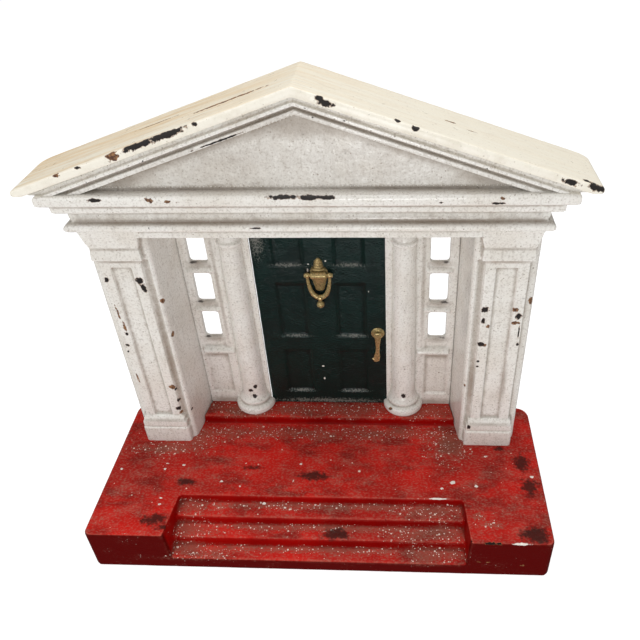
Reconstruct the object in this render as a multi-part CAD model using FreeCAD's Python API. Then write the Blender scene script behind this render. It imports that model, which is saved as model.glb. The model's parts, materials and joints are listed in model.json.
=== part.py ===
"""Temple-front still bank: a red hollow base that holds the coins, and a white cast portico on it.

Units are millimetres.  +X runs along the front from left to right, +Y runs from the front edge
to the flat back, +Z is up.  The origin is on the table, under the middle of the whole object.
Every function returns one piece, or one group of equal fasteners, in its final place.
"""
import FreeCAD, Part
import os
from math import atan, cos, degrees, hypot, pi, sin

from FreeCAD import Vector

# ---- driving dimensions ---------------------------------------------------------------------
BASE_WIDTH = 200.0
BASE_DEPTH = 80.0
BASE_HEIGHT = 22.6
BACK = BASE_DEPTH / 2            # flat back shared by base, wall, piers and entablature
FRONT = -BASE_DEPTH / 2
CASTING_WALL = 4.0

STEP_TREADS = (7.1, 12.8, 18.1)  # height of each tread at its back edge
STEP_EDGES = (FRONT, -33.0, -26.0, -18.3)   # risers, and the back of the recess
TREAD_FALL = 0.5                 # each tread falls this much towards its nose
RECESS_FRONT_HALF = 64.6
RECESS_BACK_HALF = 62.6
RECESS_FLARE = 0.9               # the recess is wider by this much each side at the top

THRESHOLD_FRONT = 26.5
THRESHOLD_TOP = 27.2
WALL_FRONT = 37.0
DOOR_FRONT = 36.8
DOOR_THICKNESS = 3.0
DOORWAY_HALF = 29.6
STOP_HALF = 28.8                 # the leaf closes against the first strip of its frame
STOP_BACK = 36.6
DOORWAY_TOP = 133.6
DOOR_GAP = 0.4

PIER_CENTRE = 77.3
PIER_FRONT = 17.0
SHAFT_FRONT = 16.2
SHAFT_HALF = 8.7
PIER_TOP = 141.0
PIER_INNER_FRONT = 64.1          # inner cheek at the front; it spreads towards the back
PIER_OUTER_FRONT = 89.4
PIER_OUTER_STEP = 19.2           # the outer margin lies further back than the front face
COVE_R = 1.6                     # hollow moulding between the shaft and the inner margin
CHEEK_DRAFT = 0.17               # spread of each cheek per millimetre of depth

COLUMN_CENTRE = 37.2
COLUMN_AXIS_Y = 37.2
ARCHITRAVE_BOTTOM = 137.0
CORNICE_TOP = 157.7

ROOF_FRONT = 6.5
ROOF_BACK = 35.5                 # roof and pediment stop short of the flat back
ROOF_HALF = 105.7
ROOF_RIDGE = 196.3
ROOF_EAVE = 160.0
ROOF_SLAB = 3.7                  # thickness of the slab, measured upright
SLOPE = (ROOF_RIDGE - ROOF_EAVE) / ROOF_HALF
PITCH = atan(SLOPE)
ROOF_UNDER = ROOF_RIDGE - ROOF_SLAB

POCKET_TOP = 5.0                 # the floor plate fits up to here, inside the rim
PLATE_THICKNESS = 2.0
CHAMBER_TOP = BASE_HEIGHT - CASTING_WALL
CHAMBER_FRONT = -29.0
COIN_SLOT = (34.0, 5.0)          # width and height
COIN_SLOT_Z = 10.8
TRAP_CENTRE = (0.0, 3.5)
TRAP_ARM = 17.5                  # from the trap hole to the screw that its cover turns on
TRAP_HOLE_R = 12.0
TRAP_PIN_R = 1.5
PLATE_SCREWS = ((-88, 30.4), (88, 30.4), (-88, -22.5), (88, -22.5), (-40, 30.4), (40, 30.4))
PLATE_SCREW_R = 1.3
PLATE_SCREW_HEAD = (2.6, 1.3)    # radius and depth of the countersunk head
BOSS_R = 5.0                     # pillar inside the coin box round each plate screw

HINGE_X = -27.7
HINGE_Y = DOOR_FRONT + DOOR_THICKNESS / 2
PIVOT_R = 0.8
PIVOT_REACH = 3.0                # how far the upper pivot enters the lintel of the wall
RUNNING_GAP = 0.05               # radial clearance of every turning pin
KNOCKER_Z = 106.2
KNOCKER_Y = 34.4
KNOCKER_PIN_R = 0.7
KNOCKER_EYE_X = 4.9              # middle of each eye of the swinging loop
KNOCKER_EYE_THICKNESS = 1.4
HANDLE_X, HANDLE_Z = 25.2, 72.7
SPINDLE_R = 0.9
LATCH_PLANE = 37.9               # front face of the latch bar, inside the leaf

TIE_ROD_Y = 30.0
TIE_ROD_R = 2.4
COLUMN_SCREW_Z = (52.0, 112.0)
COLUMN_SCREW_REACH = 3.4         # how far each screw enters its column
COLUMN_SCREW_R = 1.1
ROOF_SCREW_X = (-45.0, -20.0, 20.0, 45.0)
PEDIMENT_SCREW_X = (-52.0, -18.0, 18.0, 52.0)
PEDIMENT_SCREW_Y = 28.0
ROOF_SCREW_Y = 30.0
SHANK_R = 1.4                    # of the roof and pediment screws
HEAD_R = 2.8
RAKE_FLANGE = 9.5                # thickness of the pediment under the roof slab, measured upright
KNOCKER_SCREW_Z = (99.5, 110.5)
KNOCKER_SCREW_R = 0.6

PANEL_COLUMNS = ((-20.4, -6.2), (6.2, 20.4))
PANEL_ROWS = ((34.9, 62.4), (69.9, 100.5), (109.0, 126.2))
# inner edge, outer edge and front face of each strip beside the doorway
FRAME_STRIPS = ((STOP_HALF, 29.9, 35.9), (29.9, 30.5, 36.6), (30.5, 34.0, 36.2),
                (42.0, 44.6, 36.2), (45.2, 46.9, 36.5))
WINDOW_X = (48.4, 56.5)
LOW_PANEL_X = (47.4, 58.4)
LOW_PANEL_Z = (34.3, 58.9)
WINDOW_ROWS = ((69.6, 84.4), (90.0, 105.4), (111.0, 126.0))


# ---- small shape helpers --------------------------------------------------------------------
def block(x0, x1, y0, y1, z0, z1):
    """A box between two opposite corners."""
    return Part.makeBox(x1 - x0, y1 - y0, z1 - z0, Vector(x0, y0, z0))


def sym_block(half, y0, y1, z0, z1):
    """A box centred across the width."""
    return block(-half, half, y0, y1, z0, z1)


def rod(radius, length, start, axis):
    """A cylinder from a start point along an axis."""
    return Part.makeCylinder(radius, length, Vector(*start), Vector(*axis))


def cone(r0, r1, length, start, axis):
    """A truncated cone from a start point along an axis."""
    return Part.makeCone(r0, r1, length, Vector(*start), Vector(*axis))


def face(points):
    """A flat face round a list of points."""
    return Part.Face(Part.makePolygon([Vector(*p) for p in points] + [Vector(*points[0])]))


def plan_prism(outline, z0, z1):
    """A prism standing on a plan outline of (x, y) points."""
    return face([(x, y, z0) for x, y in outline]).extrude(Vector(0, 0, z1 - z0))


def side_prism(outline, x0, x1):
    """A prism across the width from a side outline of (y, z) points."""
    return face([(x0, y, z) for y, z in outline]).extrude(Vector(x1 - x0, 0, 0))


def front_prism(outline, y0, y1):
    """A prism running back from a front outline of (x, z) points."""
    return face([(x, y0, z) for x, z in outline]).extrude(Vector(0, y1 - y0, 0))


def frustum(low, high):
    """A solid with flat sides between two matching outlines of (x, y, z) points."""
    low, high = [Vector(*p) for p in low], [Vector(*p) for p in high]
    rings = [low, high]
    count = len(low)
    for k in range(count):
        j = (k + 1) % count
        rings.append([low[k], low[j], high[j], high[k]])
    solid = Part.Solid(Part.Shell([Part.Face(Part.makePolygon(ring + ring[:1])) for ring in rings]))
    solid.fixTolerance(1e-6)
    return solid if solid.Volume > 0 else solid.reversed()


def turned(profile, x, y):
    """A solid of revolution about the upright axis at (x, y), from (radius, height) points."""
    outline = [(x, y, profile[0][1])]
    outline += [(x + r, y, z) for r, z in profile]
    outline.append((x, y, profile[-1][1]))
    return face(outline).revolve(Vector(x, y, 0), Vector(0, 0, 1), 360)


def fuse(shapes):
    """One solid from several that touch or overlap."""
    first, *rest = shapes
    return first.multiFuse(rest).removeSplitter() if rest else first


def upright_edges(shape, test):
    """The vertical edges of a shape whose middle passes a test on (x, y)."""
    found = []
    for edge in shape.Edges:
        box = edge.BoundBox
        if box.XLength < 0.01 and box.YLength < 0.01 and test(box.Center.x, box.Center.y):
            found.append(edge)
    return found


def hexagon(radius, z0, z1, x, y):
    """An upright hexagonal prism, for a nut or a bolt head."""
    corners = [(x + radius * cos(k * pi / 3), y + radius * sin(k * pi / 3)) for k in range(6)]
    return plan_prism(corners, z0, z1)


def mirrored(shape):
    """The same piece on the other side of the middle."""
    return shape.mirror(Vector(0, 0, 0), Vector(1, 0, 0))


def cheek(side, y):
    """Distance from the middle of a pier's inner (-1) or outer (+1) cheek at a depth y."""
    start = PIER_INNER_FRONT if side < 0 else PIER_OUTER_FRONT
    return start + side * CHEEK_DRAFT * (y - PIER_FRONT)


# ---- base, floor plate and coin trap ---------------------------------------------------------
def stair_outline(drop=0.0):
    """The stairs seen from the side, lowered by a wall thickness for the inside."""
    points = [(FRONT - 1, STEP_TREADS[0] - TREAD_FALL - drop)]
    for tread, back in zip(STEP_TREADS, STEP_EDGES[1:]):
        nose = back if drop == 0 else back + drop
        if points[-1][0] > FRONT:
            points.append((points[-1][0], tread - TREAD_FALL - drop))
        points.append((nose, tread - drop))
    return points


def recess_cutter():
    """Everything that the step recess takes out of the base's front."""
    rings = []
    for z, flare in ((STEP_TREADS[0] - 2, 0.0), (BASE_HEIGHT + 1, RECESS_FLARE)):
        front, back = RECESS_FRONT_HALF + flare, RECESS_BACK_HALF + flare
        rings.append([(-front, FRONT - 1, z), (front, FRONT - 1, z),
                      (back, STEP_EDGES[-1], z), (-back, STEP_EDGES[-1], z)])
    cutter = frustum(*rings)
    behind = STEP_EDGES[-1] + 1
    stair = stair_outline() + [(behind, STEP_TREADS[-1]), (behind, 0), (FRONT - 1, 0)]
    return cutter.cut(side_prism(stair, -BASE_WIDTH / 2, BASE_WIDTH / 2))


def base_casting():
    """The red base: coin box, steps and raised threshold in one casting."""
    half = BASE_WIDTH / 2
    body = sym_block(half, FRONT, BACK, 0, BASE_HEIGHT)
    body = body.makeFillet(6.0, upright_edges(body, lambda x, y: y > 0))
    body = body.makeFillet(3.0, upright_edges(body, lambda x, y: y < -39 and abs(x) > 99))
    top = [e for e in body.Edges if e.BoundBox.ZMin > BASE_HEIGHT - 0.01 and e.BoundBox.YMin < BACK - 0.01]
    body = body.makeChamfer(0.6, top)
    body = body.cut(recess_cutter())

    chamber = sym_block(half - 5.5, CHAMBER_FRONT, BACK - 5.5, POCKET_TOP - 1, CHAMBER_TOP)
    stair_shell = stair_outline(CASTING_WALL)
    stair_shell += [(stair_shell[-1][0], BASE_HEIGHT), (FRONT - 1, BASE_HEIGHT)]
    chamber = chamber.cut(side_prism(stair_shell, -RECESS_FRONT_HALF - 5, RECESS_FRONT_HALF + 5))
    for x, y in PLATE_SCREWS:
        chamber = chamber.cut(rod(BOSS_R, BASE_HEIGHT, (x, y, 0), (0, 0, 1)))
    pocket = sym_block(half - 4, CHAMBER_FRONT, BACK - 4, -1, POCKET_TOP)
    width, height = COIN_SLOT
    slot = sym_block(width / 2, BACK - 8, BACK + 1, COIN_SLOT_Z - height / 2, COIN_SLOT_Z + height / 2)
    body = body.cut(fuse([chamber, pocket])).cut(slot)

    ends = [(cheek(-1, y), y) for y in (THRESHOLD_FRONT, BACK)]
    plan = [(-x, y) for x, y in ends] + [(x, y) for x, y in reversed(ends)]
    threshold = plan_prism(plan, BASE_HEIGHT - 1, THRESHOLD_TOP)
    nose = [e for e in threshold.Edges
            if e.BoundBox.ZMin > THRESHOLD_TOP - 0.01 and e.BoundBox.YMax < THRESHOLD_FRONT + 0.01]
    body = fuse([body, threshold.makeChamfer(0.7, nose)])
    for x, y in PLATE_SCREWS:
        body = body.cut(rod(PLATE_SCREW_R, 7.0, (x, y, POCKET_TOP), (0, 0, 1)))
    for side in (-1, 1):
        body = body.cut(rod(TIE_ROD_R + 0.2, 10, (side * PIER_CENTRE, TIE_ROD_Y, CHAMBER_TOP - 2), (0, 0, 1)))
    return body.cut(rod(PIVOT_R, 4.0, (HINGE_X, HINGE_Y, THRESHOLD_TOP - 4.0), (0, 0, 1)))


def floor_plate():
    """The iron plate that closes the coin box from below."""
    bottom = POCKET_TOP - PLATE_THICKNESS
    plate = sym_block(BASE_WIDTH / 2 - 4.2, CHAMBER_FRONT + 0.2, BACK - 4.2, bottom, POCKET_TOP)
    pivot = (TRAP_CENTRE[0] - TRAP_ARM, TRAP_CENTRE[1], bottom)
    cuts = [rod(TRAP_HOLE_R, PLATE_THICKNESS, (*TRAP_CENTRE, bottom), (0, 0, 1)),
            rod(TRAP_PIN_R, PLATE_THICKNESS, pivot, (0, 0, 1))]
    head_r, head_depth = PLATE_SCREW_HEAD
    for x, y in PLATE_SCREWS:
        cuts.append(rod(PLATE_SCREW_R, PLATE_THICKNESS, (x, y, bottom), (0, 0, 1)))
        cuts.append(cone(head_r, PLATE_SCREW_R, head_depth, (x, y, bottom), (0, 0, 1)))
    return plate.cut(fuse(cuts))


def floor_plate_screws():
    """Six countersunk screws, driven up into the base's bosses."""
    bottom = POCKET_TOP - PLATE_THICKNESS
    head_r, head_depth = PLATE_SCREW_HEAD
    screws = []
    for x, y in PLATE_SCREWS:
        head = cone(head_r, PLATE_SCREW_R, head_depth, (x, y, bottom), (0, 0, 1))
        shank = rod(PLATE_SCREW_R, 7.7, (x, y, bottom + head_depth), (0, 0, 1))
        slot = block(x - 3, x + 3, y - 0.35, y + 0.35, bottom - 1, bottom + 0.6)
        screws.append(fuse([head, shank]).cut(slot))
    return Part.makeCompound(screws)


def coin_trap_cover():
    """The round cover that swings aside to let the coins out."""
    x, y = TRAP_CENTRE
    pivot = x - TRAP_ARM
    z0, z1 = 1.6, POCKET_TOP - PLATE_THICKNESS - 0.1
    ear = block(pivot, x, y - 4.5, y + 4.5, z0, z1)
    eye = rod(4.5, z1 - z0, (pivot, y, z0), (0, 0, 1))
    disc = rod(TRAP_HOLE_R + 1.5, z1 - z0, (x, y, z0), (0, 0, 1))
    tab = rod(2.4, z1 - z0, (x + TRAP_HOLE_R + 0.3, y, z0), (0, 0, 1))
    cover = fuse([disc, ear, eye, tab])
    return cover.cut(rod(TRAP_PIN_R + RUNNING_GAP, 4, (pivot, y, 0), (0, 0, 1)))


def trap_screw():
    """The shouldered screw that the trap cover turns on."""
    x, y = TRAP_CENTRE[0] - TRAP_ARM, TRAP_CENTRE[1]
    head = rod(3.2, 0.95, (x, y, 0.6), (0, 0, 1))
    shank = rod(TRAP_PIN_R, POCKET_TOP - 1.5, (x, y, 1.5), (0, 0, 1))
    return fuse([head, shank]).cut(block(x - 4, x + 4, y - 0.4, y + 0.4, 0, 1.0))


# ---- front wall, columns and piers -----------------------------------------------------------
def column_profile():
    """(radius, height) points of an engaged column, from its foot to its neck."""
    return [(9.0, 27.2), (9.8, 28.0), (9.8, 30.2), (9.0, 31.2), (7.2, 31.6), (7.2, 32.0), (7.9, 32.6),
            (7.9, 33.8), (7.0, 34.6), (6.2, 36.4), (5.9, 40.0), (5.8, 60.0), (5.45, 90.0), (5.0, 121.0),
            (5.7, 121.4), (5.9, 122.2), (5.7, 123.0), (5.0, 123.4), (5.0, 127.0), (5.6, 128.0),
            (7.0, 131.0), (7.0, 131.6)]


def column(side):
    """A half-round column with its base rings, neck ring and square top block."""
    x = side * COLUMN_CENTRE
    shaft = turned(column_profile(), x, COLUMN_AXIS_Y)
    abacus = block(x - 7.6, x + 7.6, COLUMN_AXIS_Y - 7.6, WALL_FRONT, 131.6, ARCHITRAVE_BOTTOM)
    half = fuse([shaft, abacus]).common(block(x - 20, x + 20, 0, WALL_FRONT, 0, 200))
    half = half.cut(sym_block(DOORWAY_HALF, DOOR_FRONT - 0.3, 60, 0, 200))
    tip = WALL_FRONT - COLUMN_SCREW_REACH
    for z in COLUMN_SCREW_Z:
        half = half.cut(rod(COLUMN_SCREW_R, COLUMN_SCREW_REACH, (x, tip, z), (0, 1, 0)))
    return half


def column_screws():
    """Four countersunk screws through the wall into the backs of the columns."""
    screws = []
    for side in (-1, 1):
        for z in COLUMN_SCREW_Z:
            x = side * COLUMN_CENTRE
            tip = (x, WALL_FRONT - COLUMN_SCREW_REACH, z)
            shank = rod(COLUMN_SCREW_R, COLUMN_SCREW_REACH + 1.4, tip, (0, 1, 0))
            head = cone(COLUMN_SCREW_R, 2.3, 1.2, (x, WALL_FRONT + 1.4, z), (0, 1, 0))
            slot = block(x - 3, x + 3, WALL_FRONT + 2.1, WALL_FRONT + 3, z - 0.3, z + 0.3)
            screws.append(fuse([shank, head]).cut(slot))
    return Part.makeCompound(screws)


def wall_trim(side):
    """Door frame strips, window ledges and the projecting sill of one bay."""
    def span(a, b, y, z0, z1):
        low, high = sorted((side * a, side * b))
        return block(low, high, y, WALL_FRONT + 0.5, z0, z1)
    z0, z1 = THRESHOLD_TOP, ARCHITRAVE_BOTTOM
    strips = [span(inner, outer, front, z0, z1) for inner, outer, front in FRAME_STRIPS]
    root = WALL_FRONT + 0.5
    sill = side_prism([(35.0, 61.0), (34.8, 62.0), (35.2, 63.0), (root, 65.0), (root, 60.0)], 43.4, 58.4)
    ledges = [side_prism([(35.7, z - 4.6), (35.7, z - 3.5), (root, z - 1.8), (root, z - 5.2)], 46.9, 58.0)
              for z, _ in WINDOW_ROWS[1:]]
    pieces = [sill] + ledges
    return strips + [p if side > 0 else mirrored(p) for p in pieces]


def facade_wall():
    """The thin back wall with the doorway, six window lights and their trim."""
    foot = THRESHOLD_TOP
    ends = [(cheek(-1, y), y) for y in (WALL_FRONT, BACK)]
    plan = [(-x, y) for x, y in ends] + [(x, y) for x, y in reversed(ends)]
    wall = plan_prism(plan, foot, ARCHITRAVE_BOTTOM)
    wall = fuse([wall] + wall_trim(-1) + wall_trim(1))
    cuts = [sym_block(DOORWAY_HALF, STOP_BACK, 50, 0, DOORWAY_TOP),
            sym_block(STOP_HALF, 30, 50, 0, DOORWAY_TOP)]
    for side in (-1, 1):
        x0, x1 = sorted((side * WINDOW_X[0], side * WINDOW_X[1]))
        for z0, z1 in WINDOW_ROWS:
            light = block(x0, x1, 30, 50, z0, z1)
            bars = [e for e in light.Edges if e.BoundBox.XLength < 0.01 and e.BoundBox.ZLength < 0.01]
            cuts.append(light.makeFillet(1.4, bars))
        panel = sorted((side * LOW_PANEL_X[0], side * LOW_PANEL_X[1]))
        cuts.append(block(*panel, 30, WALL_FRONT + 0.8, *LOW_PANEL_Z))
        cuts.append(column(side))
        for z in COLUMN_SCREW_Z:
            x = side * COLUMN_CENTRE
            cuts.append(rod(COLUMN_SCREW_R, 6, (x, WALL_FRONT - COLUMN_SCREW_REACH, z), (0, 1, 0)))
            cuts.append(cone(COLUMN_SCREW_R, 2.7, 1.6, (x, WALL_FRONT + 1.4, z), (0, 1, 0)))
    cuts.append(rod(PIVOT_R, PIVOT_REACH, (HINGE_X, HINGE_Y, DOORWAY_TOP), (0, 0, 1)))
    cuts.append(block(DOORWAY_HALF - 1, DOORWAY_HALF + 2.4, LATCH_PLANE - 0.25, LATCH_PLANE + 1.25,
                      HANDLE_Z - 2.2, HANDLE_Z + 6.2))
    for cut in cuts:
        wall = wall.cut(cut)
    return wall.removeSplitter()


def pier(side):
    """A hollow corner pier: plinth, panelled pilaster, capital and the cheeks behind them."""
    z0, c = BASE_HEIGHT, PIER_CENTRE
    step = c + SHAFT_HALF
    plan = [(cheek(-1, PIER_FRONT), PIER_FRONT), (step, PIER_FRONT), (step, PIER_OUTER_STEP),
            (cheek(1, PIER_OUTER_STEP), PIER_OUTER_STEP), (cheek(1, BACK), BACK), (cheek(-1, BACK), BACK)]
    body = plan_prism(plan, z0, PIER_TOP)
    body = body.makeFillet(1.9, upright_edges(body, lambda x, y: y < 20 and abs(x - step) > 1))
    cove = (c - SHAFT_HALF - COVE_R, PIER_FRONT - 0.5, z0 + 10)
    body = body.cut(rod(COVE_R, 125.0 - cove[2], cove, (0, 0, 1)))
    shaft = block(c - SHAFT_HALF, c + SHAFT_HALF, SHAFT_FRONT, PIER_FRONT + 4, z0, PIER_TOP)
    pieces = [body, shaft] + plinth_blocks(c) + capital_blocks(c)
    solid = fuse(pieces)
    panel = block(c - 4.3, c + 4.3, SHAFT_FRONT - 1, SHAFT_FRONT + 1.1, 38.4, 121.6)
    solid = solid.cut(panel)
    hollow_plan = [(cheek(-1, 21.5) + 3.5, 21.5), (cheek(1, 21.5) - 3.5, 21.5),
                   (cheek(1, BACK + 1) - 3.5, BACK + 1), (cheek(-1, BACK + 1) + 3.5, BACK + 1)]
    solid = solid.cut(plan_prism(hollow_plan, z0 + CASTING_WALL, PIER_TOP - CASTING_WALL))
    solid = solid.cut(rod(TIE_ROD_R + 0.2, 200, (c, TIE_ROD_Y, 0), (0, 0, 1)))
    return solid if side > 0 else mirrored(solid)


def plinth_blocks(c):
    """The plinth's lower block and the narrower band above it."""
    lower = block(c - 11.4, c + 11.0, 13.9, 20.0, BASE_HEIGHT, 31.5)
    neck = block(c - 10.6, c + 10.2, 14.7, 20.0, 31.5, 32.3)
    upper = block(c - 10.8, c + 10.4, 14.3, 20.0, 32.3, 35.6)
    slope = side_prism([(14.3, 35.6), (20.0, 35.6), (20.0, 37.8), (15.6, 37.8)], c - 10.0, c + 9.8)
    edges = [e for e in lower.Edges if e.BoundBox.ZLength > 5 and e.BoundBox.YMax < 14]
    return [lower.makeFillet(1.6, edges), neck, upper, slope]


def flared_block(x0, x1, y, z, flare0, flare1):
    """A block between heights z[0] and z[1] whose front and sides lean out."""
    rings = []
    for height, grow in zip(z, (flare0, flare1)):
        rings.append([(x0 - grow, y - grow, height), (x1 + grow, y - grow, height),
                      (x1 + grow, 21.0, height), (x0 - grow, 21.0, height)])
    return frustum(*rings)


def capital_blocks(c):
    """Neck band, fillet and abacus of the pilaster's capital."""
    x0, x1 = c - SHAFT_HALF, c + SHAFT_HALF
    # (lower height, upper height, how far it stands out at the foot and at the top)
    bands = ((124.4, 125.6, 0.4, 0.4), (125.6, 130.8, 1.7, 1.3), (130.8, 131.5, 0.2, 0.2),
             (131.5, 133.0, 1.3, 1.6), (133.0, 133.6, 0.6, 0.6), (133.6, PIER_TOP, 1.9, 3.3))
    return [flared_block(x0, x1, SHAFT_FRONT, (low, high), foot, top) for low, high, foot, top in bands]


# ---- entablature, pediment and roof ----------------------------------------------------------
def entablature():
    """Architrave, bead, frieze and cornice, cast as one open-backed beam."""
    # half width, and the (y, z) outline of the front from the lowest point up
    courses = [
        (92.0, [(10.9, 141.0), (10.0, 142.0), (10.0, 143.4), (10.9, 144.3)]),
        (90.0, [(12.6, 144.3), (12.9, 146.0), (12.6, 148.2), (11.4, 149.3)]),
        (94.2, [(10.2, 149.3), (9.4, 149.9), (9.2, 152.4), (10.0, 152.9)]),
        (98.4, [(8.4, 152.9), (7.2, 153.7), (6.9, 156.6), (7.8, CORNICE_TOP)]),
    ]
    pieces = []
    for half, outline in courses:
        back = [(BACK, outline[-1][1]), (BACK, outline[0][1])]
        run = side_prism(outline + back, -half, half)
        pieces.append(lean_ends(run, half, outline))
    architrave = block(-66.2, 66.2, 13.0, BACK, ARCHITRAVE_BOTTOM, 141.0)
    architrave = architrave.cut(pier(-1)).cut(pier(1))
    beam = fuse(pieces + [architrave])
    beam = beam.cut(sym_block(86.5, 17.0, BACK + 1, 145.0, CORNICE_TOP - CASTING_WALL))
    for side in (-1, 1):
        beam = beam.cut(rod(TIE_ROD_R + 0.2, 20, (side * PIER_CENTRE, TIE_ROD_Y, 135), (0, 0, 1)))
    for x in PEDIMENT_SCREW_X:
        beam = beam.cut(rod(SHANK_R + 0.3, 10, (x, PEDIMENT_SCREW_Y, 150), (0, 0, 1)))
    return beam


def lean_ends(run, half, outline):
    """Shape a course's ends like its front, so that the moulding returns round the corner."""
    (y0, z0), (_, z1), (_, z2), (y3, z3) = outline
    front = min(y for y, _ in outline)
    low, high = half - (y0 - front), half - (y3 - front)
    shape = [(-low, z0), (-half, z1), (-half, z2), (-high, z3),
             (high, z3), (half, z2), (half, z1), (low, z0)]
    return run.common(front_prism(shape, 0, BACK))


def gable(drop, y0, y1, foot=CORNICE_TOP):
    """A triangular prism under the roof, its top lowered by drop."""
    half = (ROOF_UNDER - drop - foot) / SLOPE
    return front_prism([(-half, foot), (0, ROOF_UNDER - drop), (half, foot)], y0, y1)


def pediment():
    """The triangular field with its two raking mouldings, open at the back."""
    body = gable(0, 9.4, ROOF_BACK)
    for top, low, front, recess in ((1.8, 3.3, 8.2, 10.8), (4.8, 6.6, 9.2, 12.6)):
        body = fuse([body, gable(top, front, recess).cut(gable(low, front - 1, recess + 1))])
        body = body.cut(gable(low, front - 1, recess))
    body = body.cut(gable(RAKE_FLANGE, 16.6, BACK + 1, CORNICE_TOP + CASTING_WALL))
    for x in PEDIMENT_SCREW_X:
        body = body.cut(rod(SHANK_R, 3.5, (x, PEDIMENT_SCREW_Y, CORNICE_TOP), (0, 0, 1)))
    for x in ROOF_SCREW_X:
        body = body.cut(slope_rod(x, SHANK_R + 0.2, -12.0, 1.0))
    return body


def slope_rod(x, radius, start, end):
    """A rod square to the roof slope above x, between two depths from the slab's underside."""
    side = 1 if x > 0 else -1
    axis = Vector(side * sin(PITCH), 0, cos(PITCH))
    seat = Vector(x, ROOF_SCREW_Y, ROOF_UNDER - SLOPE * abs(x))
    return Part.makeCylinder(radius, end - start, seat + axis * start, axis)


def roof():
    """The gabled slab, with rounded ends and rounded back corners."""
    under_half = (ROOF_UNDER - CORNICE_TOP) / SLOPE
    outline = [(0, ROOF_RIDGE), (ROOF_HALF - 0.6, ROOF_EAVE + 0.2), (ROOF_HALF, ROOF_EAVE - 0.7),
               (ROOF_HALF - 0.3, ROOF_EAVE - 1.7), (ROOF_HALF - 1.1, CORNICE_TOP), (under_half, CORNICE_TOP)]
    left = [(-x, z) for x, z in reversed(outline[1:])]
    slab = front_prism(outline + [(0, ROOF_UNDER)] + left, ROOF_FRONT, ROOF_BACK)
    slab = slab.cut(gable(0, 0, 60))
    corner = 5.0
    for side in (-1, 1):
        centre = side * (ROOF_HALF - corner)
        low, high = sorted((centre, side * ROOF_HALF))
        square = block(low, high, ROOF_BACK - corner, ROOF_BACK, 150, 200)
        slab = slab.cut(square.cut(rod(corner, 60, (centre, ROOF_BACK - corner, 145), (0, 0, 1))))
    for x in ROOF_SCREW_X:
        slab = slab.cut(slope_rod(x, SHANK_R, -1.0, 2.4))
    return slab


def roof_screws():
    """Four round-head screws from inside the pediment up into the roof slab."""
    seat = -RAKE_FLANGE * cos(PITCH)
    screws = [fuse([slope_rod(x, SHANK_R, seat - 0.2, 2.4), slope_rod(x, HEAD_R, seat - 1.9, seat)])
              for x in ROOF_SCREW_X]
    return Part.makeCompound(screws)


def pediment_screws():
    """Four screws that pull the pediment down on the entablature."""
    top = CORNICE_TOP - CASTING_WALL
    screws = [fuse([rod(HEAD_R, 1.8, (x, PEDIMENT_SCREW_Y, top - 1.8), (0, 0, 1)),
                    rod(SHANK_R, 7.5, (x, PEDIMENT_SCREW_Y, top - 0.3), (0, 0, 1))])
              for x in PEDIMENT_SCREW_X]
    return Part.makeCompound(screws)


def tie_rods():
    """Two long bolts that clamp entablature, piers and base together."""
    rods = []
    for side in (-1, 1):
        x = side * PIER_CENTRE
        head = hexagon(4.6, CHAMBER_TOP - 3.5, CHAMBER_TOP, x, TIE_ROD_Y)
        rods.append(fuse([head, rod(TIE_ROD_R, 133.4, (x, TIE_ROD_Y, CHAMBER_TOP - 1), (0, 0, 1))]))
    return Part.makeCompound(rods)


def tie_rod_nuts():
    """The nuts at the upper ends of the tie rods, inside the entablature."""
    nuts = []
    for side in (-1, 1):
        x = side * PIER_CENTRE
        washer = rod(5.2, 0.8, (x, TIE_ROD_Y, 145.0), (0, 0, 1))
        nut = fuse([washer, hexagon(4.6, 145.8, 149.4, x, TIE_ROD_Y)])
        nuts.append(nut.cut(rod(TIE_ROD_R, 20, (x, TIE_ROD_Y, 140), (0, 0, 1))))
    return Part.makeCompound(nuts)


# ---- door and its brass fittings -------------------------------------------------------------
def door_leaf():
    """The six-panel leaf, turning on a rounded hinge edge."""
    y0, y1 = DOOR_FRONT, DOOR_FRONT + DOOR_THICKNESS
    z0, z1 = THRESHOLD_TOP + DOOR_GAP, DOORWAY_TOP - DOOR_GAP
    slab = block(HINGE_X, DOORWAY_HALF - DOOR_GAP, y0, y1, z0, z1)
    heel = rod(DOOR_THICKNESS / 2, z1 - z0, (HINGE_X, HINGE_Y, z0), (0, 0, 1))
    leaf = fuse([slab, heel])
    for x0, x1 in PANEL_COLUMNS:
        for low, high in PANEL_ROWS:
            leaf = leaf.cut(sunk_panel(x0, x1, low, high))
    cuts = [rod(PIVOT_R + RUNNING_GAP, 4.4, (HINGE_X, HINGE_Y, z0 - 0.1), (0, 0, 1)),
            rod(PIVOT_R + RUNNING_GAP, 4.4, (HINGE_X, HINGE_Y, z1 - 4.3), (0, 0, 1)),
            rod(SPINDLE_R + RUNNING_GAP, 5, (HANDLE_X, y0 - 1, HANDLE_Z), (0, 1, 0)),
            rod(5.6, 5, (HANDLE_X, LATCH_PLANE - 0.1, HANDLE_Z), (0, 1, 0))]
    for z in KNOCKER_SCREW_Z:
        cuts.append(rod(KNOCKER_SCREW_R, 5, (0, y0 - 1, z), (0, 1, 0)))
        cuts.append(cone(KNOCKER_SCREW_R, 1.5, 0.9, (0, y1 - 0.9, z), (0, 1, 0)))
    for cut in cuts:
        leaf = leaf.cut(cut)
    return leaf


def sunk_panel(x0, x1, z0, z1):
    """The bevelled recess of one panel."""
    rings = []
    for y, inset in ((DOOR_FRONT - 0.2, -0.2), (DOOR_FRONT + 1.0, 1.5)):
        rings.append([(x0 + inset, y, z0 + inset), (x1 - inset, y, z0 + inset),
                      (x1 - inset, y, z1 - inset), (x0 + inset, y, z1 - inset)])
    return frustum(*rings)


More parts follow.
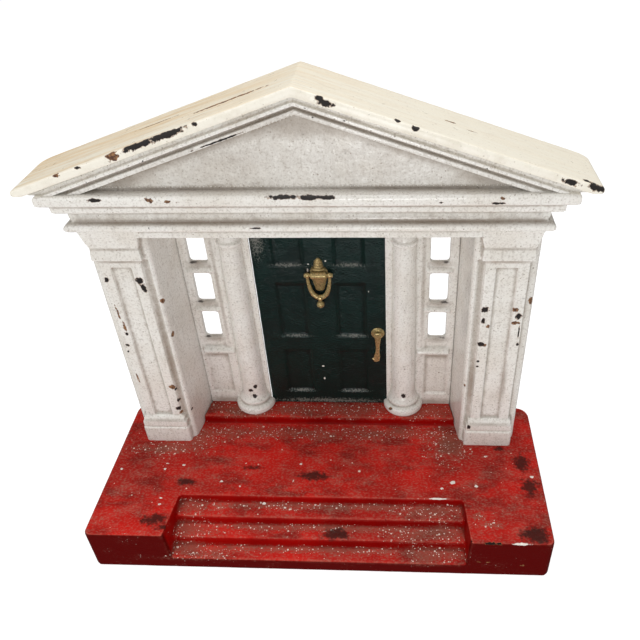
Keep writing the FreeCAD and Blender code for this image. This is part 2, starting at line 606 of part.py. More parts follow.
def door_pivots():
    """The fixed pins that the leaf turns on, at its foot and head."""
    low = THRESHOLD_TOP
    foot = fuse([rod(PIVOT_R, 8.0, (HINGE_X, HINGE_Y, low - 4.0), (0, 0, 1)),
                 rod(1.3, DOOR_GAP - 0.05, (HINGE_X, HINGE_Y, low), (0, 0, 1))])
    head = rod(PIVOT_R, 4.0 + PIVOT_REACH, (HINGE_X, HINGE_Y, DOORWAY_TOP - 4.0), (0, 0, 1))
    return Part.makeCompound([foot, head])


def knocker_plate():
    """The brass back plate of the knocker: urn outline, pivot bar and domed finial."""
    y = DOOR_FRONT
    half_outline = [(1.0, 96.6), (1.9, 98.0), (2.3, 101.0), (3.0, 103.0), (3.9, 104.2), (3.9, 107.9),
                    (2.9, 108.8), (1.8, 109.2), (2.2, 110.2), (2.1, 112.4), (1.1, 113.7)]
    outline = half_outline + [(-x, z) for x, z in reversed(half_outline)]
    plate = front_prism(outline, y - 1.0, y)
    bar = rod(1.8, 7.6, (-3.8, KNOCKER_Y, KNOCKER_Z), (1, 0, 0))
    web = block(-3.4, 3.4, KNOCKER_Y, y, KNOCKER_Z - 1.4, KNOCKER_Z + 1.4)
    finial = turned([(1.6, 109.0), (2.1, 109.6), (2.1, 112.2), (1.3, 113.6), (0.3, 113.9)], 0, y - 0.6)
    finial = finial.common(block(-5, 5, y - 5, y, 100, 120))
    solid = fuse([plate, bar, web, finial])
    solid = solid.cut(rod(KNOCKER_PIN_R, 20, (-10, KNOCKER_Y, KNOCKER_Z), (1, 0, 0)))
    for z in KNOCKER_SCREW_Z:
        solid = solid.cut(rod(KNOCKER_SCREW_R, 0.8, (0, y - 0.8, z), (0, 1, 0)))
    return solid


def knocker_screws():
    """Two small screws that hold the knocker's plate from the back of the leaf."""
    back = DOOR_FRONT + DOOR_THICKNESS
    length = DOOR_THICKNESS - 0.1
    screws = [fuse([rod(KNOCKER_SCREW_R, length, (0, DOOR_FRONT - 0.8, z), (0, 1, 0)),
                    cone(KNOCKER_SCREW_R, 1.5, 0.9, (0, back - 0.9, z), (0, 1, 0))])
              for z in KNOCKER_SCREW_Z]
    return Part.makeCompound(screws)


def knocker_pin():
    """The pin through the pivot bar, with a flat rivet head at each end."""
    half = KNOCKER_EYE_X + KNOCKER_EYE_THICKNESS / 2 + 0.1
    pin = rod(KNOCKER_PIN_R, 2 * half, (-half, KNOCKER_Y, KNOCKER_Z), (1, 0, 0))
    heads = [rod(0.95, 0.5, (s * half, KNOCKER_Y, KNOCKER_Z), (s, 0, 0)) for s in (-1, 1)]
    return fuse([pin] + heads)


def knocker_striker():
    """The swinging loop with its ball, on two eyes."""
    def limb(p, q, radius):
        """A straight round bar between two (x, z) points."""
        length = hypot(q[0] - p[0], q[1] - p[1])
        return rod(radius, length, (p[0], KNOCKER_Y, p[1]), (q[0] - p[0], 0, q[1] - p[1]))
    pieces = []
    for s in (-1, 1):
        inner_face = s * KNOCKER_EYE_X - KNOCKER_EYE_THICKNESS / 2
        pieces.append(rod(1.6, KNOCKER_EYE_THICKNESS, (inner_face, KNOCKER_Y, KNOCKER_Z), (1, 0, 0)))
        route = [(s * KNOCKER_EYE_X, KNOCKER_Z - 1.2), (s * 4.6, 101.0), (s * 3.9, 97.6),
                 (s * 2.2, 95.2), (0.0, 94.6)]
        pieces += [limb(p, q, 0.95) for p, q in zip(route, route[1:])]
        pieces += [Part.makeSphere(0.95, Vector(x, KNOCKER_Y, z)) for x, z in route[1:-1]]
    pieces.append(cone(1.3, 0.9, 2.2, (0, KNOCKER_Y, 94.6), (0, 0, -1)))
    pieces.append(Part.makeSphere(1.8, Vector(0, KNOCKER_Y, 90.7)))
    loop = fuse(pieces)
    return loop.cut(rod(KNOCKER_PIN_R + RUNNING_GAP, 20, (-10, KNOCKER_Y, KNOCKER_Z), (1, 0, 0)))


def handle_rose():
    """The round plate that the lever's spindle turns in."""
    rose = fuse([rod(3.2, 0.7, (HANDLE_X, DOOR_FRONT - 0.7, HANDLE_Z), (0, 1, 0)),
                 rod(2.5, 1.2, (HANDLE_X, DOOR_FRONT - 1.2, HANDLE_Z), (0, 1, 0))])
    return rose.cut(rod(SPINDLE_R + RUNNING_GAP, 5, (HANDLE_X, DOOR_FRONT - 3, HANDLE_Z), (0, 1, 0)))


def door_handle():
    """The hanging lever with its hub and spindle."""
    y = DOOR_FRONT - 3.0
    hub = rod(1.9, 1.7, (HANDLE_X, y, HANDLE_Z), (0, 1, 0))
    spindle = rod(SPINDLE_R, 5.4, (HANDLE_X, y + 0.5, HANDLE_Z), (0, 1, 0))
    outline = [(-1.4, 0), (-0.8, -7.4), (-1.2, -12.0), (-3.1, -13.6), (-3.0, -14.8), (-0.2, -15.9),
               (1.4, -14.6), (1.5, -12.0), (0.8, -7.4), (1.4, 0)]
    lever = front_prism([(HANDLE_X + x, HANDLE_Z + z) for x, z in outline], y, y + 1.7)
    return fuse([hub, spindle, lever])


def latch_bar():
    """The turning latch inside the leaf; its tip enters the jamb when the lever is turned."""
    y = LATCH_PLANE
    eye = rod(2.2, 1.0, (HANDLE_X, y, HANDLE_Z), (0, 1, 0))
    arm = block(HANDLE_X - 1.4, HANDLE_X + 1.4, y, y + 1.0, HANDLE_Z, HANDLE_Z + 5.2)
    return fuse([eye, arm]).cut(rod(SPINDLE_R, 5, (HANDLE_X, y - 1, HANDLE_Z), (0, 1, 0)))


def latch_nut():
    """The small square nut on the end of the spindle."""
    y = LATCH_PLANE + 1.0
    nut = block(HANDLE_X - 1.5, HANDLE_X + 1.5, y, y + 0.7, HANDLE_Z - 1.5, HANDLE_Z + 1.5)
    return nut.cut(rod(SPINDLE_R, 5, (HANDLE_X, y - 1, HANDLE_Z), (0, 1, 0)))


# ---- every node, in the order in which the bank is put together ------------------------------
NODES = {
    "base_casting": base_casting,
    "floor_plate": floor_plate,
    "floor_plate_screws": floor_plate_screws,
    "coin_trap_cover": coin_trap_cover,
    "trap_screw": trap_screw,
    "facade_wall": facade_wall,
    "left_column": lambda: column(-1),
    "right_column": lambda: column(1),
    "column_screws": column_screws,
    "left_pier": lambda: pier(-1),
    "right_pier": lambda: pier(1),
    "entablature": entablature,
    "pediment": pediment,
    "pediment_screws": pediment_screws,
    "roof": roof,
    "roof_screws": roof_screws,
    "tie_rods": tie_rods,
    "tie_rod_nuts": tie_rod_nuts,
    "door_pivots": door_pivots,
    "door_leaf": door_leaf,
    "knocker_plate": knocker_plate,
    "knocker_screws": knocker_screws,
    "knocker_pin": knocker_pin,
    "knocker_striker": knocker_striker,
    "handle_rose": handle_rose,
    "door_handle": door_handle,
    "latch_bar": latch_bar,
    "latch_nut": latch_nut,
}


def main():
    """Write one STEP file per node."""
    os.makedirs("parts", exist_ok=True)
    for name, make in NODES.items():
        shape = make()
        print(f"{name:20s} solids {len(shape.Solids)} valid {shape.isValid()}")
        shape.exportStep(f"parts/{name}.step")
    print(f"roof pitch {degrees(PITCH):.2f} degrees")


main()
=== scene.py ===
"""A temple-front cast iron bank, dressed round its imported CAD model.

The castings are made from their CAD bodies: closed, softened at every arris and slightly uneven, as
thick enamel over a sand casting is.  The brass fittings are modelled here.  Blender's unit is the
metre; the sizes in the classes are millimetres, and MM turns them into metres.
"""
from __future__ import annotations

import json
import logging
import math
from dataclasses import dataclass, field
from enum import Enum

import bmesh
import bpy
import numpy as np
from mathutils import Matrix, Vector

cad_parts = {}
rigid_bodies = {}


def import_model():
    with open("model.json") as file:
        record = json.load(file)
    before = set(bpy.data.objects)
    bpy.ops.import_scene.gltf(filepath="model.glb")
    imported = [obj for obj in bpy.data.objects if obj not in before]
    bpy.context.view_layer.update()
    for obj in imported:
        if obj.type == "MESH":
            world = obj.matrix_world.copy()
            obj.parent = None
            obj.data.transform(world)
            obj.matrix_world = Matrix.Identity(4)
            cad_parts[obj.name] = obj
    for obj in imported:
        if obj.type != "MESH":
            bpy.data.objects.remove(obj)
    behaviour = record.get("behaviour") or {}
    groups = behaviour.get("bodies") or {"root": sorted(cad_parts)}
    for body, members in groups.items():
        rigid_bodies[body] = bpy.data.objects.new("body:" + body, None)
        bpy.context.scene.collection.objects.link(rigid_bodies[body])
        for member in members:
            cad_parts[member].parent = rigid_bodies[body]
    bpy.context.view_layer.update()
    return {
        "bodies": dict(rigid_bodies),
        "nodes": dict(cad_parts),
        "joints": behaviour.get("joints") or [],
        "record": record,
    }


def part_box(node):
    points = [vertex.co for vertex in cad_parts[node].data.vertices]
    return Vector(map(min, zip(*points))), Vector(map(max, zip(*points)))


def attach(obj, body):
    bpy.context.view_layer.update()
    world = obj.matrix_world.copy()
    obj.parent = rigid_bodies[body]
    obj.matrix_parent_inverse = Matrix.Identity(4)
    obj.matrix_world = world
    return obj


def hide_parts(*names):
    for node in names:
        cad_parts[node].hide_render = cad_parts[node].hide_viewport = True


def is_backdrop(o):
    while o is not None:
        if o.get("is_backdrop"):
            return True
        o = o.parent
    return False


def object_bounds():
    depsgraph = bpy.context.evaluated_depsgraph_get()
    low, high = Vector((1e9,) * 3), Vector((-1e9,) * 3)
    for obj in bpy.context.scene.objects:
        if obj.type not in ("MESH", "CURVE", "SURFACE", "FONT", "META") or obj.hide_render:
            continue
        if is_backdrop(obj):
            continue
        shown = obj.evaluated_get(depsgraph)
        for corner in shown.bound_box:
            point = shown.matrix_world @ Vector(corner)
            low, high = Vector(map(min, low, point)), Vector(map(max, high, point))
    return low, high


MM = 0.001
MOST_TRIANGLES = 190_000
Point = tuple[float, float, float]
Colour = tuple[float, float, float]
log = logging.getLogger("bank")


# ---- marks on the paint ---------------------------------------------------------------------------
class Kind(Enum):
    """What a mark on the paint is; the value is the name of the attribute that holds it."""

    BARE = "bare"
    RUST = "rust"
    STAIN = "stain"
    GRIME_AND_SHADE = "grime_and_shade"
    DUST = "dust"
    SPLASH = "splash"


@dataclass(frozen=True)
class Mark:
    """One chip, rust spot, stain, place of soil and painted shade, or splash: an ellipsoid, tilted about the
    Y axis.
    """

    kind: Kind
    at: Point
    size: Point
    tilt: float = 0.0

    def nearness(self, points: np.ndarray) -> np.ndarray:
        """How near points are to the mark.

        Args:
            points: An array of (x, y, z) rows in metres.

        Returns:
            One number a point: 1 at the middle, 0.5 on the edge and 0 at twice the size.
        """
        turn = np.array(Matrix.Rotation(math.radians(self.tilt), 3, "Y"))
        local = (points / MM - np.array(self.at)) @ turn / np.array(self.size)
        return np.clip(1.0 - np.linalg.norm(local, axis=1) / 2.0, 0.0, 1.0)


def scatter(kind: Kind, *rows: tuple[float, ...], tilt: float = 0.0) -> tuple[Mark, ...]:
    """Make marks of one kind.

    Args:
        kind: What they are.
        rows: Their (x, y, z, half width, half depth, half height) in millimetres.
        tilt: Their lean about the Y axis, in degrees.

    Returns:
        The marks.
    """
    return tuple(Mark(kind, row[:3], row[3:], tilt) for row in rows)


def on_face(kind: Kind, y: float, *rows: tuple[float, float, float, float]) -> tuple[Mark, ...]:
    """Make marks of one kind on an upright face.

    Args:
        kind: What they are.
        y: Where the face is, in millimetres.
        rows: Their (x, z, half width, half height) in millimetres.

    Returns:
        The marks.
    """
    return tuple(Mark(kind, (x, y, z), (wide, 1.0, high)) for x, z, wide, high in rows)


def on_top(kind: Kind, z: float, *rows: tuple[float, float, float, float],
           thick: float = 1.0) -> tuple[Mark, ...]:
    """Make marks of one kind on a level face.

    Args:
        kind: What they are.
        z: How high the face is, in millimetres.
        rows: Their (x, y, half width, half depth) in millimetres.
        thick: Their half height in millimetres.

    Returns:
        The marks.
    """
    return tuple(Mark(kind, (x, y, z), (wide, deep, thick)) for x, y, wide, deep in rows)


def both(marks: tuple[Mark, ...]) -> tuple[Mark, ...]:
    """Return the marks and their mirror images on the other side of the bank."""
    mirrored = tuple(Mark(m.kind, (-m.at[0], *m.at[1:]), m.size, -m.tilt) for m in marks)
    return marks + mirrored


BASE_TOP = 22.6                      # Z of the base's top in millimetres
THRESHOLD_TOP = 27.2                 # Z of the threshold's top
SHAFT_FACE = 16.2                    # Y of the piers' shafts; Y grows towards the back
DOOR_FACE = 36.8                     # Y of the door's front
WALL_FACE = 37.0                     # Y of the front of the wall around it
RAKE = 19.0                          # tilt of the roof's slopes in degrees
ROOF_MARKS = (
    scatter(Kind.RUST, (-24.0, 18.3, 188.0, 15.0, 0.8, 2.0), (-52.0, 24.0, 178.6, 9.0, 0.4, 2.0),
        tilt=-RAKE)
    + scatter(Kind.BARE, (34.2, 7.6, 184.4, 1.0, 0.9, 0.9), (40.1, 6.8, 182.2, 1.2, 0.9, 0.9),
        (-77.2, 6.5, 169.2, 1.2, 1.0, 0.5), (-33.0, 6.5, 184.4, 0.9, 1.0, 0.6),
        (9.0, 6.6, 192.4, 1.3, 1.0, 0.8))
    + scatter(Kind.RUST, (52.2, 22.4, 178.4, 2.6, 0.4, 1.0), (60.0, 20.0, 175.7, 2.0, 0.3, 1.0), tilt=RAKE)
    + scatter(Kind.BARE, (-53.4, 6.6, 177.4, 6.6, 1.6, 1.1), (-43.2, 6.6, 180.9, 6.8, 1.6, 1.3), tilt=-RAKE)
    + scatter(Kind.RUST, (-86.0, 6.5, 166.3, 1.4, 1.0, 0.8), (-63.7, 6.7, 173.4, 2.2, 1.4, 1.6))
    + scatter(Kind.BARE, (11.2, 6.4, 190.6, 2.2, 1.2, 1.1), (93.2, 6.4, 162.6, 2.9, 1.2, 0.9),
        (102.6, 6.6, 160.2, 3.0, 1.6, 1.2), (99.0, 8.4, 162.0, 1.8, 0.8, 0.8), tilt=RAKE)
)
# GRIME_AND_SHADE marks here are mostly painted shade, under the cornice mouldings and over the tympanum, with
# some soil.
GABLE_MARKS = both(
    scatter(Kind.GRIME_AND_SHADE, (-20.0, 16.4, 168.0, 50.0, 4.0, 14.0), (-3.0, 12.6, 182.0, 14.0, 4.0, 6.0),
        (-40.0, 12.6, 158.2, 44.0, 2.0, 1.0), (-45.0, 11.4, 149.7, 52.0, 1.6, 0.6),
        (-45.0, 9.5, 153.0, 52.0, 1.2, 0.8), (-45.0, 12.4, 148.9, 52.0, 1.6, 0.9),
        (-45.0, 12.0, 144.4, 52.0, 1.4, 0.8))
    + scatter(Kind.GRIME_AND_SHADE, (-38.0, 12.6, 172.0, 40.0, 3.0, 3.0), (-10.0, 12.6, 181.5, 16.0, 3.0, 4.0),
        (-64.0, 12.6, 161.5, 12.0, 3.0, 3.0), tilt=-RAKE)
) + (
    scatter(Kind.BARE, (-27.0, 9.2, 177.2, 8.5, 1.0, 0.28), tilt=-RAKE)
    + scatter(Kind.GRIME_AND_SHADE, (-31.7, 12.6, 158.8, 3.2, 2.0, 1.3))
    + scatter(Kind.BARE, (-6.4, 7.2, 157.2, 5.2, 1.3, 0.75), (3.2, 7.2, 157.0, 4.4, 1.3, 0.85),
        (9.8, 7.1, 156.9, 2.2, 1.3, 0.7), (-75.1, 6.9, 156.4, 2.2, 1.0, 0.6),
        (49.7, 7.1, 154.9, 0.9, 1.0, 0.4), (69.6, 7.1, 154.4, 1.9, 1.0, 0.45),
        (-18.4, 10.0, 143.1, 1.6, 1.0, 0.3))
    + scatter(Kind.RUST, (-54.9, 7.0, 156.4, 1.2, 1.0, 1.1), (-48.1, 7.0, 155.8, 1.3, 1.0, 0.7),
        (71.1, 6.9, 156.4, 1.0, 1.0, 0.6))
)
# GRIME_AND_SHADE marks below the sills and round the capitals and plinths are soil and painted shade.
WALL_MARKS = both(tuple(
    Mark(kind, (across, 37.2, row + up), size)
    for row in (69.6, 90.0, 111.0)
    for kind, across, up, size in ((Kind.GRIME_AND_SHADE, -52.5, -0.8, (4.8, 1.6, 1.6)),
                                   (Kind.GRIME_AND_SHADE, -52.8, 0.0, (4.6, 2.0, 0.8)),
                                   (Kind.STAIN, -55.2, 0.0, (1.3, 1.0, 0.35)))
)) + both(
    scatter(Kind.GRIME_AND_SHADE, (-54.0, 37.0, 135.0, 9.0, 2.0, 3.4), (-77.0, 15.6, 131.0, 11.0, 1.6, 0.6),
        (-77.0, 15.6, 124.7, 11.0, 1.6, 0.7), (-77.0, 15.2, 36.0, 10.0, 1.6, 0.7),
        (-65.0, 33.0, 135.5, 2.4, 12.0, 4.0), (-52.9, 37.8, 58.2, 5.4, 1.2, 1.6),
        (-52.0, 37.2, 28.6, 10.0, 1.5, 2.0), (-45.6, 37.0, 100.0, 0.8, 1.2, 30.0))
)
PIER_MARKS = (
    on_face(Kind.BARE, SHAFT_FACE, (-84.6, 116.0, 0.8, 1.0), (-70.8, 115.6, 1.4, 1.5),
        (-70.0, 111.8, 0.9, 2.0), (-83.2, 87.5, 0.5, 0.9), (-84.4, 81.4, 0.7, 0.7), (-85.0, 77.6, 0.4, 0.5),
        (70.2, 101.2, 1.5, 1.2), (69.9, 95.4, 0.7, 1.5), (69.7, 83.2, 1.4, 1.1),
        (69.3, 73.6, 0.55, 0.6), (69.4, 70.4, 0.6, 0.5), (84.0, 98.2, 1.1, 1.5))
    + scatter(Kind.BARE, (-68.3, 16.6, 54.4, 0.7, 1.0, 0.6), (-68.3, 17.0, 47.7, 0.8, 1.0, 1.0),
        (-69.4, 16.4, 42.6, 1.3, 1.0, 1.1), (-63.8, 18.9, 39.9, 0.7, 1.0, 0.6),
        (85.1, 16.3, 90.4, 0.28, 1.0, 3.8), (85.3, 16.3, 83.2, 0.5, 1.0, 0.8),
        (67.8, 14.3, 34.4, 0.7, 1.0, 1.1))
    + scatter(Kind.RUST, (-84.2, 16.2, 99.0, 0.45, 1.0, 3.6), (-83.2, 16.2, 91.5, 0.6, 1.0, 3.0), tilt=-3.0)
    + scatter(Kind.RUST, (-84.4, 16.2, 62.0, 0.35, 1.0, 3.6), tilt=-5.0)
    + on_face(Kind.RUST, SHAFT_FACE, (-69.4, 56.3, 1.5, 1.4), (72.2, 92.8, 0.7, 0.9), (71.4, 82.8, 0.9, 0.8),
        (82.6, 101.4, 1.7, 1.0), (82.6, 94.6, 2.2, 0.9))
    + scatter(Kind.RUST, (-64.2, 18.0, 104.2, 1.0, 1.4, 1.2), (-63.9, 18.8, 85.7, 0.9, 1.2, 1.3),
        (-68.6, 16.8, 39.8, 1.2, 1.0, 0.9), (88.9, 19.4, 104.0, 0.9, 1.2, 1.9),
        (64.6, 17.3, 58.2, 0.5, 0.8, 0.8))
    # GRIME_AND_SHADE streaks on the piers are soil and painted shade.
    + scatter(Kind.GRIME_AND_SHADE, (67.6, 17.4, 60.0, 1.2, 1.5, 10.0), (82.0, 17.0, 62.0, 0.8, 1.2, 10.0),
        (-67.6, 17.4, 70.0, 1.1, 1.5, 26.0))
)
COLUMN_MARKS = (
    scatter(Kind.BARE, (-35.1, 31.6, 42.7, 0.9, 1.2, 1.2), (-37.9, 31.4, 40.4, 1.0, 1.2, 0.9),
        (-35.9, 31.0, 36.8, 1.1, 1.2, 1.0), (37.4, 31.1, 37.8, 1.0, 1.2, 1.2))
    + scatter(Kind.RUST, (31.0, 30.0, 30.4, 1.3, 1.0, 0.9))
)
SPLASH_SPOTS = (                     # (x, y, radius) on the top of the base
    (-74.0, -0.5, 0.8), (-74.4, -3.6, 0.7), (-66.0, -1.0, 0.9), (-36.5, 0.5, 0.6), (-46.0, -10.4, 0.9),
    (-37.0, -13.0, 0.7), (-13.0, -9.0, 0.9), (-10.5, 0.4, 0.9), (-95.0, -4.0, 0.7), (59.5, -8.6, 1.3),
    (54.5, -12.0, 0.8), (70.0, -10.4, 0.9), (76.0, 7.0, 0.8), (95.5, -4.6, 0.9), (14.0, 12.6, 0.6),
    (-71.0, -23.4, 0.7), (61.0, -33.0, 0.6))
BASE_MARKS = (
    on_top(Kind.STAIN, BASE_TOP, (-71.9, -31.1, 5.6, 2.6), (-65.4, -35.4, 3.6, 1.4), (-3.0, -6.0, 7.0, 2.2),
        (-63.1, -10.8, 3.6, 1.6), (83.5, 12.0, 2.6, 1.6), (92.0, 3.5, 4.0, 4.4),
        (93.0, -10.5, 4.0, 4.4), (92.5, -35.0, 6.0, 3.4))
    + scatter(Kind.STAIN, (-34.0, -2.0, 22.6, 4.0, 1.4, 0.6), (7.6, -30.4, 12.6, 6.5, 2.6, 1.6))
    + scatter(Kind.SPLASH, (52.5, -17.6, 22.6, 4.4, 0.45, 0.7), (-71.4, -20.1, 22.6, 1.4, 0.45, 0.8),
        (-25.2, -18.8, 18.1, 0.9, 0.6, 0.6), (-15.6, -20.4, 18.0, 0.5, 1.1, 0.6),
        (86.0, -39.4, 22.2, 4.0, 0.6, 0.4))
    + scatter(Kind.BARE, (74.0, -39.8, 22.3, 4.4, 0.8, 0.45))
    + scatter(Kind.RUST, (72.0, -40.0, 9.4, 7.0, 1.0, 0.3), (88.0, -40.0, 8.0, 1.4, 1.0, 0.5))
    + on_top(Kind.DUST, BASE_TOP, (-62.0, 15.0, 9.0, 7.0), (-78.0, 9.0, 13.0, 3.4), (60.0, 14.0, 9.0, 9.0),
        (-20.0, 20.0, 44.0, 3.4), (30.0, 21.0, 34.0, 3.0), thick=2.0)
    + scatter(Kind.DUST, (69.5, -26.6, 22.6, 2.4, 1.4, 1.0), (76.5, -30.6, 22.6, 4.0, 1.6, 1.0))
) + tuple(
    Mark(Kind.DUST, (x, 31.5, THRESHOLD_TOP), (14.0, 5.0, 1.5)) for x in (-48.0, -16.0, 16.0, 48.0)
) + tuple(
    Mark(Kind.DUST, (x, y, z), (size, 3.6, 2.0))
    for y, z in ((-21.0, 18.1), (-28.6, 12.8), (-35.6, 7.1)) for x, size in ((-57.0, 12.0), (50.0, 15.0))
) + tuple(
    Mark(Kind.DUST, (0.0, y, z), (60.0, 1.6, 1.0)) for y, z in ((-19.5, 18.1), (-27.2, 12.8), (-34.2, 7.1))
) + tuple(Mark(Kind.SPLASH, (x, y, BASE_TOP), (r, r * 0.8, r)) for x, y, r in SPLASH_SPOTS)
DOOR_MARKS = (
    on_face(Kind.SPLASH, DOOR_FACE, (-4.9, 107.2, 0.4, 0.9), (3.2, 112.0, 0.3, 0.4), (-4.4, 110.4, 0.4, 0.3),
        (21.5, 96.0, 0.35, 0.35), (-1.6, 52.0, 0.6, 0.4), (-1.4, 44.0, 0.4, 0.6))
    # The dust marks at the top left of the door are pale dust that also stands in for painted sparkle
    # highlights.
    + scatter(Kind.DUST, (-26.0, 36.8, 124.0, 3.0, 1.0, 9.0), (-12.0, 36.8, 130.0, 14.0, 1.0, 1.4),
        (0.0, 36.8, 29.0, 26.0, 1.5, 1.6))
) + both(tuple(
    Mark(Kind.DUST, (-13.3, 37.2, low + 0.7), (6.6, 1.0, 0.8)) for low in (34.9, 69.9, 109.0)))


# ---- meshes ---------------------------------------------------------------------------------------
class Skin:
    """The vertices of a mesh as arrays, with the averaging that softening and hollows need."""

    def __init__(self, mesh: bpy.types.Mesh) -> None:
        """Read the mesh.

        Args:
            mesh: The mesh to work on, which write() changes.
        """
        self.mesh = mesh
        self.co = self._read(mesh.vertices, "co", np.float64).reshape(-1, 3)
        self.edges = self._read(mesh.edges, "vertices", np.int32, 2).reshape(-1, 2)
        self.degree = np.bincount(self.edges.ravel(), minlength=len(self.co))[:, None]

    @staticmethod
    def _read(items: bpy.types.bpy_prop_collection, name: str, kind: type, width: int = 3) -> np.ndarray:
        """Return one property of all items as a flat array."""
        flat = np.empty(len(items) * width, kind)
        items.foreach_get(name, flat)
        return flat

    def average(self, values: np.ndarray) -> np.ndarray:
        """Return the mean of every vertex's neighbours, for an array with one row a vertex."""
        first, second = self.edges.T
        total = np.empty_like(values)
        for k in range(values.shape[1]):
            column = values[:, k]
            total[:, k] = np.bincount(first, column[second], len(values))
            total[:, k] += np.bincount(second, column[first], len(values))
        return total / self.degree

    def spread(self, values: np.ndarray, passes: int) -> np.ndarray:
        """Return values after that many half steps towards their neighbours' mean."""
        for _ in range(passes):
            values = (values + self.average(values)) / 2
        return values

    def normals(self) -> np.ndarray:
        """Return the outward normal at every vertex."""
        self.write()
        return self._read(self.mesh.vertex_normals, "vector", np.float32).reshape(-1, 3)

    def hollow(self, reach: float, spacing: float) -> np.ndarray:
        """Find the hollows and the arrises.

        Args:
            reach: How wide a neighbourhood counts, in millimetres.
            spacing: The distance between neighbouring vertices, in millimetres.

        Returns:
            One number a vertex: positive in a hollow, negative on an arris, 0 on a flat.
        """
        passes = max(4, round(4 * (reach / spacing) ** 2))
        away = self.spread(self.co, passes) - self.co
        value = np.einsum("ij,ij->i", away, self.normals()) / (reach * MM)
        return self.spread(value[:, None], 2)[:, 0]

    def write(self) -> None:
        """Put the vertices back into the mesh."""
        self.mesh.vertices.foreach_set("co", self.co.astype(np.float32).ravel())
        self.mesh.update()


def ripple(points: np.ndarray, wavelength: float, seed: int) -> np.ndarray:
    """Make a smooth random field.

    Args:
        points: An array of (x, y, z) rows in metres.
        wavelength: The usual distance between two crests, in millimetres.
        seed: Picks the field.

    Returns:
        One number a point, mostly between -1 and 1.
    """
    rng = np.random.default_rng(seed)
    total = np.zeros(len(points))
    waves = 16
    for _ in range(waves):
        direction = rng.normal(size=3)
        direction *= 2 * math.pi / (np.linalg.norm(direction) * wavelength * MM * rng.uniform(0.7, 1.6))
        total += np.sin(points @ direction + rng.uniform(0, 2 * math.pi))
    return total / math.sqrt(2 * waves)


def set_attribute(mesh: bpy.types.Mesh, name: str, values: np.ndarray) -> None:
    """Store one number a vertex as a named attribute of the mesh."""
    layer = mesh.attributes.get(name) or mesh.attributes.new(name, "FLOAT", "POINT")
    layer.data.foreach_set("value", values.astype(np.float32))


def object_of(mesh: bpy.types.Mesh, name: str) -> bpy.types.Object:
    """Link a new object that shows the mesh, and return it."""
    shown = bpy.data.objects.new(name, mesh)
    bpy.context.scene.collection.objects.link(shown)
    return shown


def plain_mesh(shown: bpy.types.Object, name: str) -> bpy.types.Mesh:
    """Turn an object with modifiers into a plain mesh and remove the object.

    Args:
        shown: The object, which is used up.
        name: The name of the new mesh.

    Returns:
        The mesh as its modifiers leave it.
    """
    depsgraph = bpy.context.evaluated_depsgraph_get()
    mesh = bpy.data.meshes.new_from_object(shown.evaluated_get(depsgraph))
    mesh.name = name
    bpy.data.objects.remove(shown)
    return mesh


def node_copy(node: bpy.types.Object) -> bpy.types.Mesh:
    """Return a copy of a CAD node's mesh with its loose triangles joined up."""
    shape = bmesh.new()
    shape.from_mesh(node.data)
    bmesh.ops.remove_doubles(shape, verts=shape.verts, dist=0.0005 * MM)
    mesh = bpy.data.meshes.new(node.name)
    shape.to_mesh(mesh)
    shape.free()
    return mesh


def remeshed(mesh: bpy.types.Mesh, spacing: float) -> bpy.types.Mesh:
    """Cover a closed mesh evenly with small squares.

    Args:
        mesh: The closed mesh; pieces that overlap become one.
        spacing: The size of the squares, in millimetres.

    Returns:
        The new mesh.
    """
    work = object_of(mesh, "work")
    remesh = work.modifiers.new("squares", "REMESH")
    remesh.mode = "VOXEL"
    remesh.voxel_size = spacing * MM
    remesh.use_smooth_shade = True
    return plain_mesh(work, mesh.name)


def thinned(mesh: bpy.types.Mesh) -> bpy.types.Mesh:
    """Bring a mesh of squares under the limit on triangles, and return it."""
    triangles = 2 * len(mesh.polygons)
    if triangles <= MOST_TRIANGLES:
        return mesh
    work = object_of(mesh, "work")
    decimate = work.modifiers.new("thin", "DECIMATE")
    decimate.ratio = MOST_TRIANGLES / triangles
    return plain_mesh(work, mesh.name)


# ---- shader trees ---------------------------------------------------------------------------------
class Wire:
    """A shader socket that adds Math nodes when it is used in a sum."""

    def __init__(self, shader: "Shader", socket: bpy.types.NodeSocket) -> None:
        """Wrap an output socket of the shader's tree."""
        self.shader = shader
        self.socket = socket

    def _math(self, operation: str, *values: "Wire | float") -> "Wire":
        """Add one Math node and return its result."""
        settings = {"operation": operation}
        return self.shader.node("ShaderNodeMath", settings, dict(enumerate(values)))

    def __add__(self, other: "Wire | float") -> "Wire":
        """Add."""
        return self._math("ADD", self, other)

    __radd__ = __add__

    def __sub__(self, other: "Wire | float") -> "Wire":
        """Subtract."""
        return self._math("SUBTRACT", self, other)

    def __rsub__(self, other: float) -> "Wire":
        """Subtract from a number."""
        return self._math("SUBTRACT", other, self)

    def __mul__(self, other: "Wire | float") -> "Wire":
        """Multiply."""
        return self._math("MULTIPLY", self, other)

    __rmul__ = __mul__

    def over(self, other: "Wire | float") -> "Wire":
        """Return the larger of the two."""
        return self._math("MAXIMUM", self, other)

    def step(self, low: float, high: float) -> "Wire":
        """Return 0 below low and 1 above high, smooth between."""
        settings = {"interpolation_type": "SMOOTHSTEP", "clamp": True}
        values = {"Value": self, "From Min": low, "From Max": high}
        return self.shader.node("ShaderNodeMapRange", settings, values)


